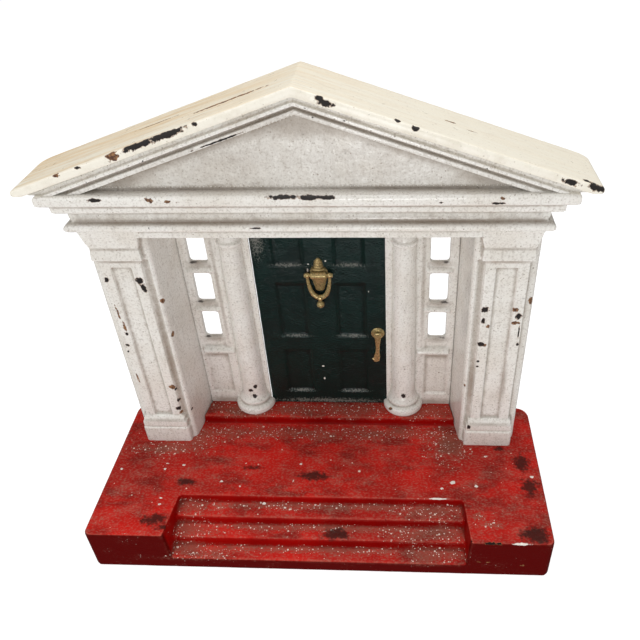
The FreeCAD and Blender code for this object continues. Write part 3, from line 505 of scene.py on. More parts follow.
class Shader:
    """A material under construction."""

    def __init__(self, name: str) -> None:
        """Start a material with an empty tree.

        Args:
            name: The material's name.
        """
        self.material = bpy.data.materials.new(name)
        self.material.use_nodes = True
        self.tree = self.material.node_tree
        self.tree.nodes.clear()
        self.place = self.node("ShaderNodeTexCoord", {}, {}, "Object")

    def node(self, kind: str, settings: dict, values: dict, output: str | int = 0) -> Wire:
        """Add a node.

        Args:
            kind: The node's type.
            settings: Its properties.
            values: Its inputs by name, identifier or number, as wires, numbers or colours.
            output: The output to return.

        Returns:
            That output.
        """
        made = self.tree.nodes.new(kind)
        for name, value in settings.items():
            setattr(made, name, value)
        by_identifier = {socket.identifier: socket for socket in made.inputs}
        for key, value in values.items():
            socket = made.inputs[key] if isinstance(key, int) else by_identifier.get(key) or made.inputs[key]
            if isinstance(value, Wire):
                self.tree.links.new(value.socket, socket)
            elif isinstance(value, tuple) and len(value) == 3 and socket.type == "RGBA":
                socket.default_value = (*value, 1.0)
            else:
                socket.default_value = value
        found = made.outputs[output] if isinstance(output, int) else None
        if found is None:
            found = next(s for s in made.outputs if output in (s.identifier, s.name))
        return Wire(self, found)

    def mix(self, share: Wire | float, first: Wire | Colour, second: Wire | Colour) -> Wire:
        """Blend two colours and return the result."""
        values = {"Factor_Float": share, "A_Color": first, "B_Color": second}
        return self.node("ShaderNodeMix", {"data_type": "RGBA"}, values, "Result_Color")

    def noise(self, size: float, detail: float = 3.0, stretch: Point = (1.0, 1.0, 1.0),
              shift: float = 0.0) -> Wire:
        """Add a noise pattern.

        Args:
            size: The size of its patches, in millimetres.
            detail: How many finer octaves it has.
            stretch: How many times longer the patches are along each axis.
            shift: Moves the pattern, so that two of a size differ.

        Returns:
            A value around 0.5.
        """
        scale = tuple(1.0 / (size * MM * s) for s in stretch)
        settings = {"vector_type": "POINT"}
        values = {"Vector": self.place, "Location": (shift, shift * 2, shift * 3), "Scale": scale}
        placed = self.node("ShaderNodeMapping", settings, values, "Vector")
        values = {"Vector": placed, "Scale": 1.0, "Detail": detail, "Roughness": 0.55}
        return self.node("ShaderNodeTexNoise", {}, values)

    def specks(self, spacing: float, radius: float, shift: float = 0.0) -> Wire:
        """Add scattered round specks.

        Args:
            spacing: The usual distance between two specks, in millimetres.
            radius: Their largest radius, in millimetres.
            shift: Moves the pattern.

        Returns:
            1 inside a speck, 0 outside.
        """
        values = {"Vector": self.place, "Location": (shift, shift, shift), "Scale": (1 / (spacing * MM),) * 3}
        placed = self.node("ShaderNodeMapping", {"vector_type": "POINT"}, values, "Vector")
        cell = self.tree.nodes.new("ShaderNodeTexVoronoi")
        cell.inputs["Scale"].default_value = 1.0
        self.tree.links.new(placed.socket, cell.inputs["Vector"])
        distance = Wire(self, cell.outputs["Distance"])
        luck = self.node("ShaderNodeSeparateColor", {}, {"Color": Wire(self, cell.outputs["Color"])}, "Red")
        size = radius / spacing
        return (luck * luck * size - distance).step(0.0, size * 0.25)

    def attribute(self, name: str) -> Wire:
        """Read one of the mesh's own attributes."""
        return self.node("ShaderNodeAttribute", {"attribute_name": name}, {}, "Fac")

    def facing_up(self) -> Wire:
        """Return how far a surface faces upwards: 1 for a floor, 0 for a wall."""
        normal = self.node("ShaderNodeNewGeometry", {}, {}, "Normal")
        return self.node("ShaderNodeSeparateXYZ", {}, {"Vector": normal}, "Z")

    def along(self, axis: str) -> Wire:
        """Return the place along an axis of the bank, "X", "Y" or "Z", in metres."""
        return self.node("ShaderNodeSeparateXYZ", {}, {"Vector": self.place}, axis)

    def mark(self, kind: Kind, ragged: Wire, softness: float = 0.03, grow: float = 0.0) -> Wire:
        """Turn the marks of one kind into a mask with a ragged edge."""
        return (self.attribute(kind.value) + ragged).step(0.5 - grow - softness, 0.5 - grow + softness)

    def bump(self, height: Wire, depth: float, beneath: Wire | None = None) -> Wire:
        """Turn a height into a normal.

        Args:
            height: The height pattern, from 0 to 1.
            depth: What 1 stands for, in millimetres.
            beneath: A normal to add it to.

        Returns:
            The normal.
        """
        values: dict = {"Height": height, "Distance": depth * MM, "Strength": 1.0}
        if beneath is not None:
            values["Normal"] = beneath
        return self.node("ShaderNodeBump", {}, values, "Normal")

    def finish(self, values: dict) -> bpy.types.Material:
        """Close the tree with a Principled shader that has these inputs, and return the material."""
        shader = self.node("ShaderNodeBsdfPrincipled", {}, values, "BSDF")
        output = self.tree.nodes.new("ShaderNodeOutputMaterial")
        self.tree.links.new(shader.socket, output.inputs["Surface"])
        return self.material


# ---- finishes -------------------------------------------------------------------------------------
BARE_IRON: Colour = (0.016, 0.012, 0.011)
RUST: Colour = (0.30, 0.15, 0.06)
OLD_RUST: Colour = (0.09, 0.035, 0.018)
SMUDGE: Colour = (0.022, 0.012, 0.010)
CREAM_SPLASH: Colour = (0.74, 0.69, 0.63)
PALE_DUST: Colour = (0.36, 0.35, 0.31)


@dataclass(frozen=True)
class Enamel:
    """Old gloss enamel on cast iron, with soil and painted shade in its hollows, painted highlights and chips
    on its arrises.

    The shares and amounts run from 0 to 1: hollow_shade_and_dirt_share is how strongly hollows darken, as
    painted shade and soil together, gloss is the mean roughness, specks is how dark the pinholes are, shine
    is the reflection's strength and mottle is how much soiled film, streaking and painted glint lies on the
    flats.
    cast_depth and cast_size are the depth and the width of the casting's bumps in millimetres, and
    edge is the colour of the painted highlight on arrises and of the painted glints.
    """

    slot: str
    paint: Colour
    aged: Colour
    grime_and_shade: Colour
    hollow_shade_and_dirt_share: float = 0.75
    gloss: float = 0.28
    cast_depth: float = 0.05
    cast_size: float = 1.1
    specks: float = 0.5
    shine: float = 0.5
    mottle: float = 0.34
    # edge: the colour of the painted highlight on arrises and of the painted glints.
    edge: Colour = (0.88, 0.865, 0.83)

    def colour(self, shader: Shader, hollow: Wire) -> Wire:
        """Mix the paint's own colour, without chips.

        Args:
            shader: The material under construction.
            hollow: The attribute that tells hollows from arrises.

        Returns:
            The colour.
        """
        cloud = shader.noise(16.0, 4.0)
        base = shader.mix(cloud.step(0.35, 0.7), self.paint, self.aged)
        # Painted shade with soil: hollows darken towards the grime colour.
        hollow_shade_and_dirt = (hollow * 4.2 + (shader.noise(3.0, 5.0, shift=3.0) - 0.5) * 1.2 - 0.14).step(0.0, 0.9)
        base = shader.mix(hollow_shade_and_dirt * self.hollow_shade_and_dirt_share, base, self.grime_and_shade)
        # Painted highlight: arrises are lightened towards the edge colour.
        edge = (0.0 - hollow).step(0.10, 0.45) * 0.4
        base = shader.mix(edge, base, self.edge)
        streak = shader.noise(1.8, 6.0, (1.0, 1.0, 6.0), 13.0).step(0.50, 0.80) * self.mottle * 0.7
        base = shader.mix(streak, base, self.grime_and_shade)
        film = shader.noise(0.8, 6.0, shift=7.0).step(0.47, 0.74) * self.mottle * 1.25
        base = shader.mix(film, base, self.grime_and_shade)
        glint = shader.noise(0.6, 4.0, shift=17.0).step(0.55, 0.72) * self.mottle
        base = shader.mix(glint, base, self.edge)
        powder = (shader.noise(0.7, 6.0, shift=14.0) - 0.5) * 2.2
        laid = (shader.attribute(Kind.DUST.value) + powder).step(0.4, 1.0)
        return shader.mix(laid * 0.42, base, PALE_DUST)

    def material(self) -> bpy.types.Material:
        """Build the material."""
        shader = Shader(self.slot)
        hollow = shader.attribute("hollow")
        fine = shader.noise(0.9, 4.0, shift=1.0)
        ragged = (shader.noise(1.5, 7.0, shift=5.0) - 0.5) * 1.15
        patchy = (shader.noise(5.0, 6.0, shift=8.0) - 0.5) * 1.2
        colour = self.colour(shader, hollow)
        dots = shader.specks(1.5, 0.34).over(shader.specks(4.2, 0.5, 6.0)) * self.specks
        colour = shader.mix(dots, colour, self.grime_and_shade)
        # GRIME_AND_SHADE marks: soil and painted shade, darkened towards the grime colour.
        grime_and_shade = (shader.attribute(Kind.GRIME_AND_SHADE.value) + ragged * 0.4 + patchy * 0.3).step(0.10, 1.0)
        colour = shader.mix(grime_and_shade * 0.66, colour, self.grime_and_shade)
        stain = shader.mark(Kind.STAIN, ragged * 0.9 + patchy * 1.0, 0.26)
        colour = shader.mix(stain * 0.86, colour, SMUDGE)
        rim = shader.mark(Kind.BARE, ragged, 0.05, 0.09)
        rust = shader.mark(Kind.RUST, ragged, 0.04).over(rim * 0.7)
        tint = shader.mix(shader.noise(1.0, 5.0, shift=12.0).step(0.38, 0.62), RUST, OLD_RUST)
        colour = shader.mix(rust, colour, tint)
        flake = (shader.noise(2.4, 6.0, shift=11.0) - hollow * 0.35).step(0.80, 0.83)
        bare = shader.mark(Kind.BARE, ragged, 0.02).over(flake)
        colour = shader.mix(bare, colour, BARE_IRON)
        splash = shader.mark(Kind.SPLASH, ragged * 0.6, 0.04)
        colour = shader.mix(splash, colour, CREAM_SPLASH)
        dulled = bare.over(rust) * 0.35 + grime_and_shade * 0.2
        rough = dulled + shader.noise(5.0, 3.0, shift=2.0) * 0.14 + (self.gloss - 0.07)
        cast = shader.bump(shader.noise(self.cast_size, 4.0, shift=9.0), self.cast_depth)
        chipped = shader.bump(bare * -1.0 + fine * 0.15, 0.10, cast)
        return shader.finish({"Base Color": colour, "Roughness": rough, "Normal": chipped,
                              "Specular IOR Level": self.shine})


@dataclass(frozen=True)
class RoofEnamel(Enamel):
    """Yellowed enamel with streaks that run down the slopes."""

    streak: Colour = (0.50, 0.33, 0.17)
    front: Colour = (0.86, 0.82, 0.72)
    front_aged: Colour = (0.78, 0.73, 0.62)

    def colour(self, shader: Shader, hollow: Wire) -> Wire:
        """Mix yellowed slopes with a white front edge; see Enamel.colour."""
        long = shader.noise(2.0, 6.0, (16.0, 1.0, 16.0))
        fine = shader.noise(0.7, 5.0, (18.0, 1.0, 18.0), 4.0)
        slope = shader.facing_up().step(0.72, 0.93)
        left = 1.0 - shader.along("X").step(-0.060, 0.050)
        back = shader.along("Y").step(0.010, 0.028)
        tanned = (long.step(0.36, 0.62) * 0.7 + back * 0.3) * (left * 0.85 + 0.15)
        yellow = shader.mix(tanned, self.paint, self.aged)
        yellow = shader.mix(fine.step(0.54, 0.72) * (left * 0.45 + 0.16), yellow, self.streak)
        white = shader.mix(shader.noise(7.0, 4.0).step(0.45, 0.7), self.front, self.front_aged)
        base = shader.mix(slope, white, yellow)
        film = shader.noise(1.1, 6.0, shift=7.0).step(0.52, 0.80) * self.mottle
        base = shader.mix(film, base, self.grime_and_shade)
        # Painted shade with soil: hollows darken towards the grime colour.
        hollow_shade_and_dirt = (hollow * 3.0 + (shader.noise(3.0, 5.0, shift=3.0) - 0.5)).step(0.15, 0.9)
        return shader.mix(hollow_shade_and_dirt * self.hollow_shade_and_dirt_share, base, self.grime_and_shade)


@dataclass(frozen=True)
class DustyEnamel(Enamel):
    """Red enamel, painted lighter on its upward faces as painted light and much darker on its front as
    painted shade; the upward faces carry a film of brown dust and small splashes.
    """

    dust: Colour = (0.36, 0.19, 0.14)
    # front is the painted-shade colour of the front faces; top and top_aged are painted-light copies of the
    # red for upward faces.
    front: Colour = (0.085, 0.0011, 0.0009)
    top: Colour = (0.58, 0.0075, 0.005)
    top_aged: Colour = (0.36, 0.007, 0.005)
    deep: Colour = (0.15, 0.006, 0.005)
    settled: Colour = (0.22, 0.10, 0.07)
    crumb: Colour = (0.76, 0.64, 0.56)
    worn: Colour = (0.50, 0.20, 0.14)
    fleck: Colour = (0.80, 0.66, 0.56)

    def colour(self, shader: Shader, hollow: Wire) -> Wire:
        """Mix the red with its painted-light top and painted-shade front, its dark patches and the dust; see
        Enamel.colour.
        """
        # Painted light and shade: upward faces take the brighter top red, the front the darkest red.
        up = shader.facing_up().step(0.6, 0.95)
        cloud = shader.noise(34.0, 3.0)
        side = shader.mix(cloud.step(0.36, 0.66), self.paint, self.aged)
        side = shader.mix((0.0 - shader.along("Y")).step(0.037, 0.039), side, self.front)
        top = shader.mix(cloud.step(0.34, 0.66), self.top, self.top_aged)
        base = shader.mix(up, side, top)
        deep = shader.noise(9.0, 7.0, (1.8, 1.0, 1.0), 16.0).step(0.44, 0.66) * up * 0.75
        base = shader.mix(deep, base, self.deep)
        film = shader.noise(6.0, 8.0, (1.6, 1.0, 1.0), 2.0).step(0.46, 0.82)
        base = shader.mix((film * 0.20 + 0.04) * up, base, self.dust)
        grain = shader.noise(0.7, 5.0, (1.6, 1.0, 1.0), 9.0)
        base = shader.mix(grain.step(0.44, 0.70) * (film * 0.40 + 0.32) * up, base, self.dust)
        patchy = (shader.noise(7.0, 6.0, (1.5, 1.0, 1.0), 8.0) - 0.5) * 1.3
        laid = (shader.attribute(Kind.DUST.value) * 1.1 + (grain - 0.5) * 1.8 + patchy).step(0.15, 1.0)
        base = shader.mix(laid * 0.5, base, self.settled)
        crumbs = shader.specks(0.8, 0.34, 3.0).over(shader.specks(1.9, 0.6, 8.0)) * laid.step(0.05, 0.40)
        base = shader.mix(crumbs, base, self.crumb)
        worn = (0.0 - hollow + (shader.noise(1.5, 5.0, shift=8.0) - 0.5) * 0.5).step(0.16, 0.40)
        base = shader.mix(worn * (up * 0.34 + 0.05), base, self.worn)
        pale = shader.specks(9.0, 1.0, 2.0).over(shader.specks(3.4, 0.42, 5.0)) * (up * 0.85 + 0.05)
        base = shader.mix(pale, base, self.fleck)
        # Painted shade with soil: hollows darken towards the grime colour.
        hollow_shade_and_dirt = (hollow * 2.6 + (shader.noise(3.0, 5.0, shift=3.0) - 0.5)).step(0.2, 1.1)
        return shader.mix(hollow_shade_and_dirt * self.hollow_shade_and_dirt_share, base, self.grime_and_shade)


@dataclass(frozen=True)
class Metal:
    """Bare metal with patina in its hollows and brighter arrises."""

    slot: str
    bright: Colour
    dull: Colour
    rough: float
    grain: float = 1.2
    grain_depth: float = 0.03
    metallic: float = 1.0

    def material(self) -> bpy.types.Material:
        """Build the material."""
        shader = Shader(self.slot)
        hollow = shader.attribute("hollow")
        cloud = shader.noise(2.2 * self.grain, 5.0)
        patina = (hollow * 2.6 + (cloud - 0.5) * 2.4).step(-0.45, 0.55)
        colour = shader.mix(patina, self.bright, self.dull)
        rough = patina * 0.25 + shader.noise(self.grain, 3.0, shift=4.0) * 0.16 + (self.rough - 0.1)
        normal = shader.bump(shader.noise(self.grain, 4.0, shift=6.0), self.grain_depth)
        values = {"Base Color": colour, "Roughness": rough, "Normal": normal, "Metallic": self.metallic}
        return shader.finish(values)


class Finish(Enum):
    """Every finish on the bank."""

    WHITE = Enamel("white_enamel", (0.80, 0.78, 0.735), (0.73, 0.695, 0.635), (0.24, 0.18, 0.13), gloss=0.17,
                   cast_depth=0.11, hollow_shade_and_dirt_share=0.55, specks=0.65)
    CREAM = RoofEnamel("cream_enamel", (0.92, 0.875, 0.75), (0.82, 0.64, 0.41), (0.26, 0.17, 0.09), gloss=0.3,
                       mottle=0.16, specks=0.3)
    RED = DustyEnamel("red_enamel", (0.29, 0.0018, 0.0012), (0.19, 0.0014, 0.001), (0.075, 0.016, 0.011),
                      hollow_shade_and_dirt_share=0.5, gloss=0.34, specks=0.3, shine=0.03)
    # GREEN's edge is a lighter green: a painted highlight on the door's arrises.
    GREEN = Enamel("green_enamel", (0.0010, 0.0150, 0.0125), (0.0022, 0.0115, 0.010), (0.0015, 0.005, 0.005),
                   gloss=0.22, cast_depth=0.28, cast_size=0.8, specks=0.0, shine=0.3, mottle=0.0,
                   edge=(0.012, 0.030, 0.026))
    BRASS = Metal("aged_brass", (0.60, 0.46, 0.21), (0.20, 0.145, 0.06), 0.28, 0.5, 0.03, 0.7)
    IRON = Metal("bare_iron", (0.085, 0.078, 0.072), (0.05, 0.032, 0.024), 0.62, 1.4, 0.10, 0.35)
    STEEL = Metal("steel", (0.42, 0.41, 0.39), (0.24, 0.21, 0.18), 0.42, 0.8, 0.01)


class Paintshop:
    """Builds each finish once and puts it on pieces."""

    def __init__(self) -> None:
        """Start with nothing built."""
        self.built: dict[Finish, bpy.types.Material] = {}

    def material(self, finish: Finish) -> bpy.types.Material:
        """Return the material of a finish."""
        if finish not in self.built:
            self.built[finish] = finish.value.material()
        return self.built[finish]

    def coat(self, shown: bpy.types.Object, finish: Finish) -> None:
        """Put a finish on an object."""
        shown.data.materials.clear()
        shown.data.materials.append(self.material(finish))


# ---- the kinds of piece ---------------------------------------------------------------------------
@dataclass
class Casting:
    """A painted casting made from its CAD body."""

    node: str
    body: str
    finish: Finish
    spacing: float
    passes: int = 3
    uneven: float = 0.07
    chip_depth: float = 0.12
    reach: float = 1.3
    marks: tuple[Mark, ...] = ()
    joints: tuple[tuple[int, float, float], ...] = ()

    def build(self, frame: dict, shop: Paintshop) -> bpy.types.Object:
        """Make the piece, dress it and hand it to its body.

        The joints are (axis, place, shift) in millimetres: faces that bear on a neighbour, which
        are pushed into it so that the paint runs over the joint without a gap.

        Args:
            shop: Where the finishes are.

        Returns:
            The finished object.
        """
        spacing = self.spacing * 1.0
        mesh = remeshed(self._seated(node_copy(frame["nodes"][self.node])), spacing)
        skin = Skin(mesh)
        skin.co = skin.spread(skin.co, self.passes)
        hollow = skin.hollow(self.reach, spacing)
        self._roughen(skin)
        set_attribute(mesh, "hollow", hollow)
        mesh = thinned(mesh)
        mesh.shade_smooth()
        points = Skin(mesh).co
        for kind in Kind:
            set_attribute(mesh, kind.value, self._nearness(kind, points))
        piece = object_of(mesh, f"painted_{self.node}")
        shop.coat(piece, self.finish)
        return hand_over(piece, self.body, self.finish, self.node)

    def _seated(self, mesh: bpy.types.Mesh) -> bpy.types.Mesh:
        """Push the faces that bear on a neighbour into it, and return the mesh."""
        skin = Skin(mesh)
        for axis, place, shift in self.joints:
            near = np.abs(skin.co[:, axis] - place * MM) < 0.02 * MM
            skin.co[near, axis] += shift * MM
        skin.write()
        return mesh

    def _roughen(self, skin: Skin) -> None:
        """Sink the skin a little and unevenly, more in the chips, and keep it inside the CAD box."""
        seed = len(self.node) * 31 + ord(self.node[0])
        field = 0.6 * ripple(skin.co, 9.0, seed) + 0.4 * ripple(skin.co, 3.2, seed + 1)
        depth = self.uneven * np.clip(0.5 + 0.5 * field, 0.0, 1.0)
        depth += self.chip_depth * (self._nearness(Kind.BARE, skin.co) > 0.5)
        skin.co = skin.co - skin.normals() * depth[:, None] * MM
        low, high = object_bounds()
        inset = 0.005 * MM
        skin.co = np.clip(skin.co, np.array(low) + inset, np.array(high) - inset)
        skin.write()

    def _nearness(self, kind: Kind, points: np.ndarray) -> np.ndarray:
        """Return how near points are to the nearest mark of a kind."""
        total = np.zeros(len(points))
        for mark in self.marks:
            if mark.kind is kind:
                total = np.maximum(total, mark.nearness(points))
        return total


def hand_over(piece: bpy.types.Object, body: str, finish: Finish, *nodes: str) -> bpy.types.Object:
    """Make a finished piece ride on its body and stand for its CAD nodes.

    Args:
        piece: The finished object.
        body: The body that it rides on.
        finish: Its finish; not used.
        nodes: The CAD nodes that it replaces.

    Returns:
        The same object.
    """
    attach(piece, body)
    if nodes:
        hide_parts(*nodes)
    log.info("%s on %s: %d faces", piece.name, body, len(piece.data.polygons))
    return piece


@dataclass
class Fitting:
    """A small cast brass fitting, melted together from turned and bent shapes."""

    name: str
    body: str
    nodes: tuple[str, ...]
    spacing: float = 0.11
    verts: list[Point] = field(default_factory=list)
    faces: list[tuple[int, ...]] = field(default_factory=list)

    def lathe(self, outline: list[tuple[float, float]], centre: Point, axis: Point,
              flat: float = 1.0) -> None:
        """Add a turned shape.

        Args:
            outline: (radius, distance along the axis) pairs.
            centre: Where the axis starts, in millimetres.
            axis: The axis's direction.
            flat: Squeezes the shape front to back.
        """
        steps = 28
        turn = Vector(axis).to_track_quat("Z", "Y").to_matrix()
        rings = []
        for radius, along in outline:
            ring = []
            for k in range(steps):
                angle = 2 * math.pi * k / steps
                spot = turn @ Vector((radius * math.cos(angle), radius * math.sin(angle), along))
                spot.y *= flat
                ring.append(tuple(spot + Vector(centre)))
            rings.append(ring)
        self.loft(rings)

    def loft(self, rings: list[list[Point]]) -> None:
        """Add a closed shape through matching rings of points."""
        start, count = len(self.verts), len(rings[0])
        for ring in rings:
            self.verts.extend(ring)
        for row in range(len(rings) - 1):
            for k in range(count):
                a, b = start + row * count + k, start + row * count + (k + 1) % count
                self.faces.append((a, b, b + count, a + count))
        self.faces.append(tuple(start + k for k in reversed(range(count))))
        last = start + (len(rings) - 1) * count
        self.faces.append(tuple(last + k for k in range(count)))

    def bar(self, route: list[Point], radii: list[tuple[float, float]]) -> None:
        """Add a bent bar with an oval section.

        Args:
            route: Points in the front plane, in millimetres.
            radii: The section's half width and half thickness at each point.
        """
        steps, rings = 20, []
        for k, point in enumerate(route):
            before, after = Vector(route[max(k - 1, 0)]), Vector(route[min(k + 1, len(route) - 1)])
            along = (after - before).normalized()
            out = Vector((0.0, -1.0, 0.0))
            side = along.cross(out).normalized()
            wide, thick = radii[k]
            ring = []
            for j in range(steps):
                angle = 2 * math.pi * j / steps
                offset = side * wide * math.cos(angle) + out * thick * math.sin(angle)
                ring.append(tuple(Vector(point) + offset))
            rings.append(ring)
        self.loft(rings)

    def ball(self, centre: Point, radius: float, flat: float = 1.0) -> None:
        """Add a ball, squeezed front to back by flat."""
        rows = 14
        outline = []
        for k in range(rows + 1):
            angle = math.pi * k / rows
            outline.append((max(radius * math.sin(angle), 0.02), -radius * math.cos(angle)))
        self.lathe(outline, centre, (0.0, 0.0, 1.0), flat)

    def build(self, frame: dict, shop: Paintshop) -> bpy.types.Object:
        """Melt the shapes together, dress the piece and hand it to its body; see Casting.build."""
        mesh = bpy.data.meshes.new(self.name)
        mesh.from_pydata([tuple(c * MM for c in v) for v in self.verts], [], self.faces)
        fix_normals(mesh)
        mesh = remeshed(mesh, self.spacing)
        skin = Skin(mesh)
        skin.co = skin.spread(skin.co, 4)
        skin.co = skin.co + skin.normals() * (0.02 * MM * ripple(skin.co, 1.6, 5))[:, None]
        set_attribute(mesh, "hollow", skin.hollow(0.35, self.spacing))
        skin.write()
        mesh.shade_smooth()
        piece = object_of(mesh, self.name)
        shop.coat(piece, Finish.BRASS)
        return hand_over(piece, self.body, Finish.BRASS, *self.nodes)


def fix_normals(mesh: bpy.types.Mesh) -> None:
    """Turn every face of closed shells outwards."""
    shape = bmesh.new()
    shape.from_mesh(mesh)
    bmesh.ops.recalc_face_normals(shape, faces=shape.faces)
    shape.to_mesh(mesh)
    shape.free()


# ---- what repeats, by Geometry Nodes --------------------------------------------------------------
class Pattern:
    """A Geometry Nodes tree with named inputs, which ends in plain, dressed geometry."""

    def __init__(self, name: str) -> None:
        """Start the tree.

        Args:
            name: The tree's name, and that of the object it makes.
        """
        self.tree = bpy.data.node_groups.new(name, "GeometryNodeTree")
        self.tree.interface.new_socket("Geometry", in_out="INPUT", socket_type="NodeSocketGeometry")
        self.tree.interface.new_socket("Geometry", in_out="OUTPUT", socket_type="NodeSocketGeometry")
        self.entry = self.tree.nodes.new("NodeGroupInput")

    def value(self, name: str, kind: str = "Float") -> bpy.types.NodeSocket:
        """Add a named input of a kind, such as Float, Int, Vector or Material, and return its socket."""
        self.tree.interface.new_socket(name, in_out="INPUT", socket_type=f"NodeSocket{kind}")
        return next(s for s in self.entry.outputs if s.name == name)

    def node(self, kind: str, settings: dict, values: dict) -> bpy.types.Node:
        """Add a node with its properties, and its inputs by name as sockets or plain values."""
        made = self.tree.nodes.new(kind)
        for name, value in settings.items():
            setattr(made, name, value)
        for name, value in values.items():
            socket = made.inputs[name]
            if isinstance(value, bpy.types.NodeSocket):
                self.tree.links.new(value, socket)
            elif isinstance(value, list):
                for one in value:
                    self.tree.links.new(one, socket)
            else:
                socket.default_value = value
        return made

    def vector(self, x: object, y: object, z: object) -> bpy.types.NodeSocket:
        """Join three numbers or sockets into a vector."""
        return self.node("ShaderNodeCombineXYZ", {}, {"X": x, "Y": y, "Z": z}).outputs[0]

    def close(self, copies: bpy.types.NodeSocket, material: bpy.types.NodeSocket) -> None:
        """Make the copies real, smooth and dressed, and end the tree."""
        real = self.node("GeometryNodeRealizeInstances", {}, {"Geometry": copies}).outputs[0]
        smooth = self.node("GeometryNodeSetShadeSmooth", {}, {"Geometry": real}).outputs[0]
        dressed = self.node("GeometryNodeSetMaterial", {}, {"Geometry": smooth, "Material": material})
        leave = self.tree.nodes.new("NodeGroupOutput")
        self.tree.links.new(dressed.outputs[0], leave.inputs[0])

    def make(self, values: dict, points: list[Point] | None = None) -> bpy.types.Object:
        """Run the tree.

        Args:
            values: The named inputs.
            points: Places in millimetres that the tree copies its shape to, if it takes them.

        Returns:
            A new object with the plain mesh.
        """
        seeds = bpy.data.meshes.new(self.tree.name)
        seeds.from_pydata([tuple(c * MM for c in p) for p in points or [(0.0, 0.0, 0.0)]], [], [])
        work = object_of(seeds, "work")
        modifier = work.modifiers.new("pattern", "NODES")
        modifier.node_group = self.tree
        for item in self.tree.interface.items_tree:
            if item.item_type == "SOCKET" and item.in_out == "INPUT" and item.name in values:
                modifier[item.identifier] = values[item.name]
        return object_of(plain_mesh(work, self.tree.name), self.tree.name)


@dataclass
class Beads:
    """The row of fine beads inside the pediment's raking and level mouldings."""

    half: float = 76.5
    foot: float = 158.9
    front: float = 12.55
    radius: float = 0.34
    spacing: float = 1.4
    eaves: float = 160.0
    seed: int = 11

    def build(self, frame: dict, shop: Paintshop) -> bpy.types.Object:
        """Lay the beads along the triangle; see Casting.build."""
        pattern = Pattern("tympanum_beads")
        half, foot = pattern.value("Half width"), pattern.value("Foot")
        top, front = pattern.value("Apex"), pattern.value("Front")
        spacing, radius = pattern.value("Spacing"), pattern.value("Radius")
        seed, material = pattern.value("Seed", "Int"), pattern.value("Material", "Material")
        left = pattern.node("ShaderNodeMath", {"operation": "MULTIPLY"}, {0: half, 1: -1.0}).outputs[0]
        corners = [pattern.vector(left, front, foot), pattern.vector(0.0, front, top),
                   pattern.vector(half, front, foot)]
        runs = []
        for start, end in zip(corners, corners[1:] + corners[:1]):
            line = pattern.node("GeometryNodeCurvePrimitiveLine", {}, {"Start": start, "End": end})
            runs.append(line.outputs[0])
        lines = pattern.node("GeometryNodeJoinGeometry", {}, {"Geometry": runs}).outputs[0]
        places = pattern.node("GeometryNodeCurveToPoints", {"mode": "LENGTH"},
                              {"Curve": lines, "Length": spacing}).outputs[0]
        bead = pattern.node("GeometryNodeMeshIcoSphere", {}, {"Radius": radius, "Subdivisions": 2}).outputs[0]
        size = pattern.node("FunctionNodeRandomValue", {"data_type": "FLOAT"},
                            {2: 0.55, 3: 1.0, "Seed": seed}).outputs[1]
        copies = pattern.node("GeometryNodeInstanceOnPoints", {},
                              {"Points": places, "Instance": bead, "Scale": size}).outputs[0]
        pattern.close(copies, material)
        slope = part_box("roof")
        rise = (slope[1].z - self.eaves * MM) / slope[1].x
        values = {"Half width": self.half * MM, "Foot": self.foot * MM, "Front": self.front * MM,
                  "Apex": self.foot * MM + self.half * MM * rise, "Spacing": self.spacing * MM,
                  "Radius": self.radius * MM, "Seed": self.seed, "Material": shop.material(Finish.WHITE)}
        return hand_over(pattern.make(values), "root", Finish.WHITE)


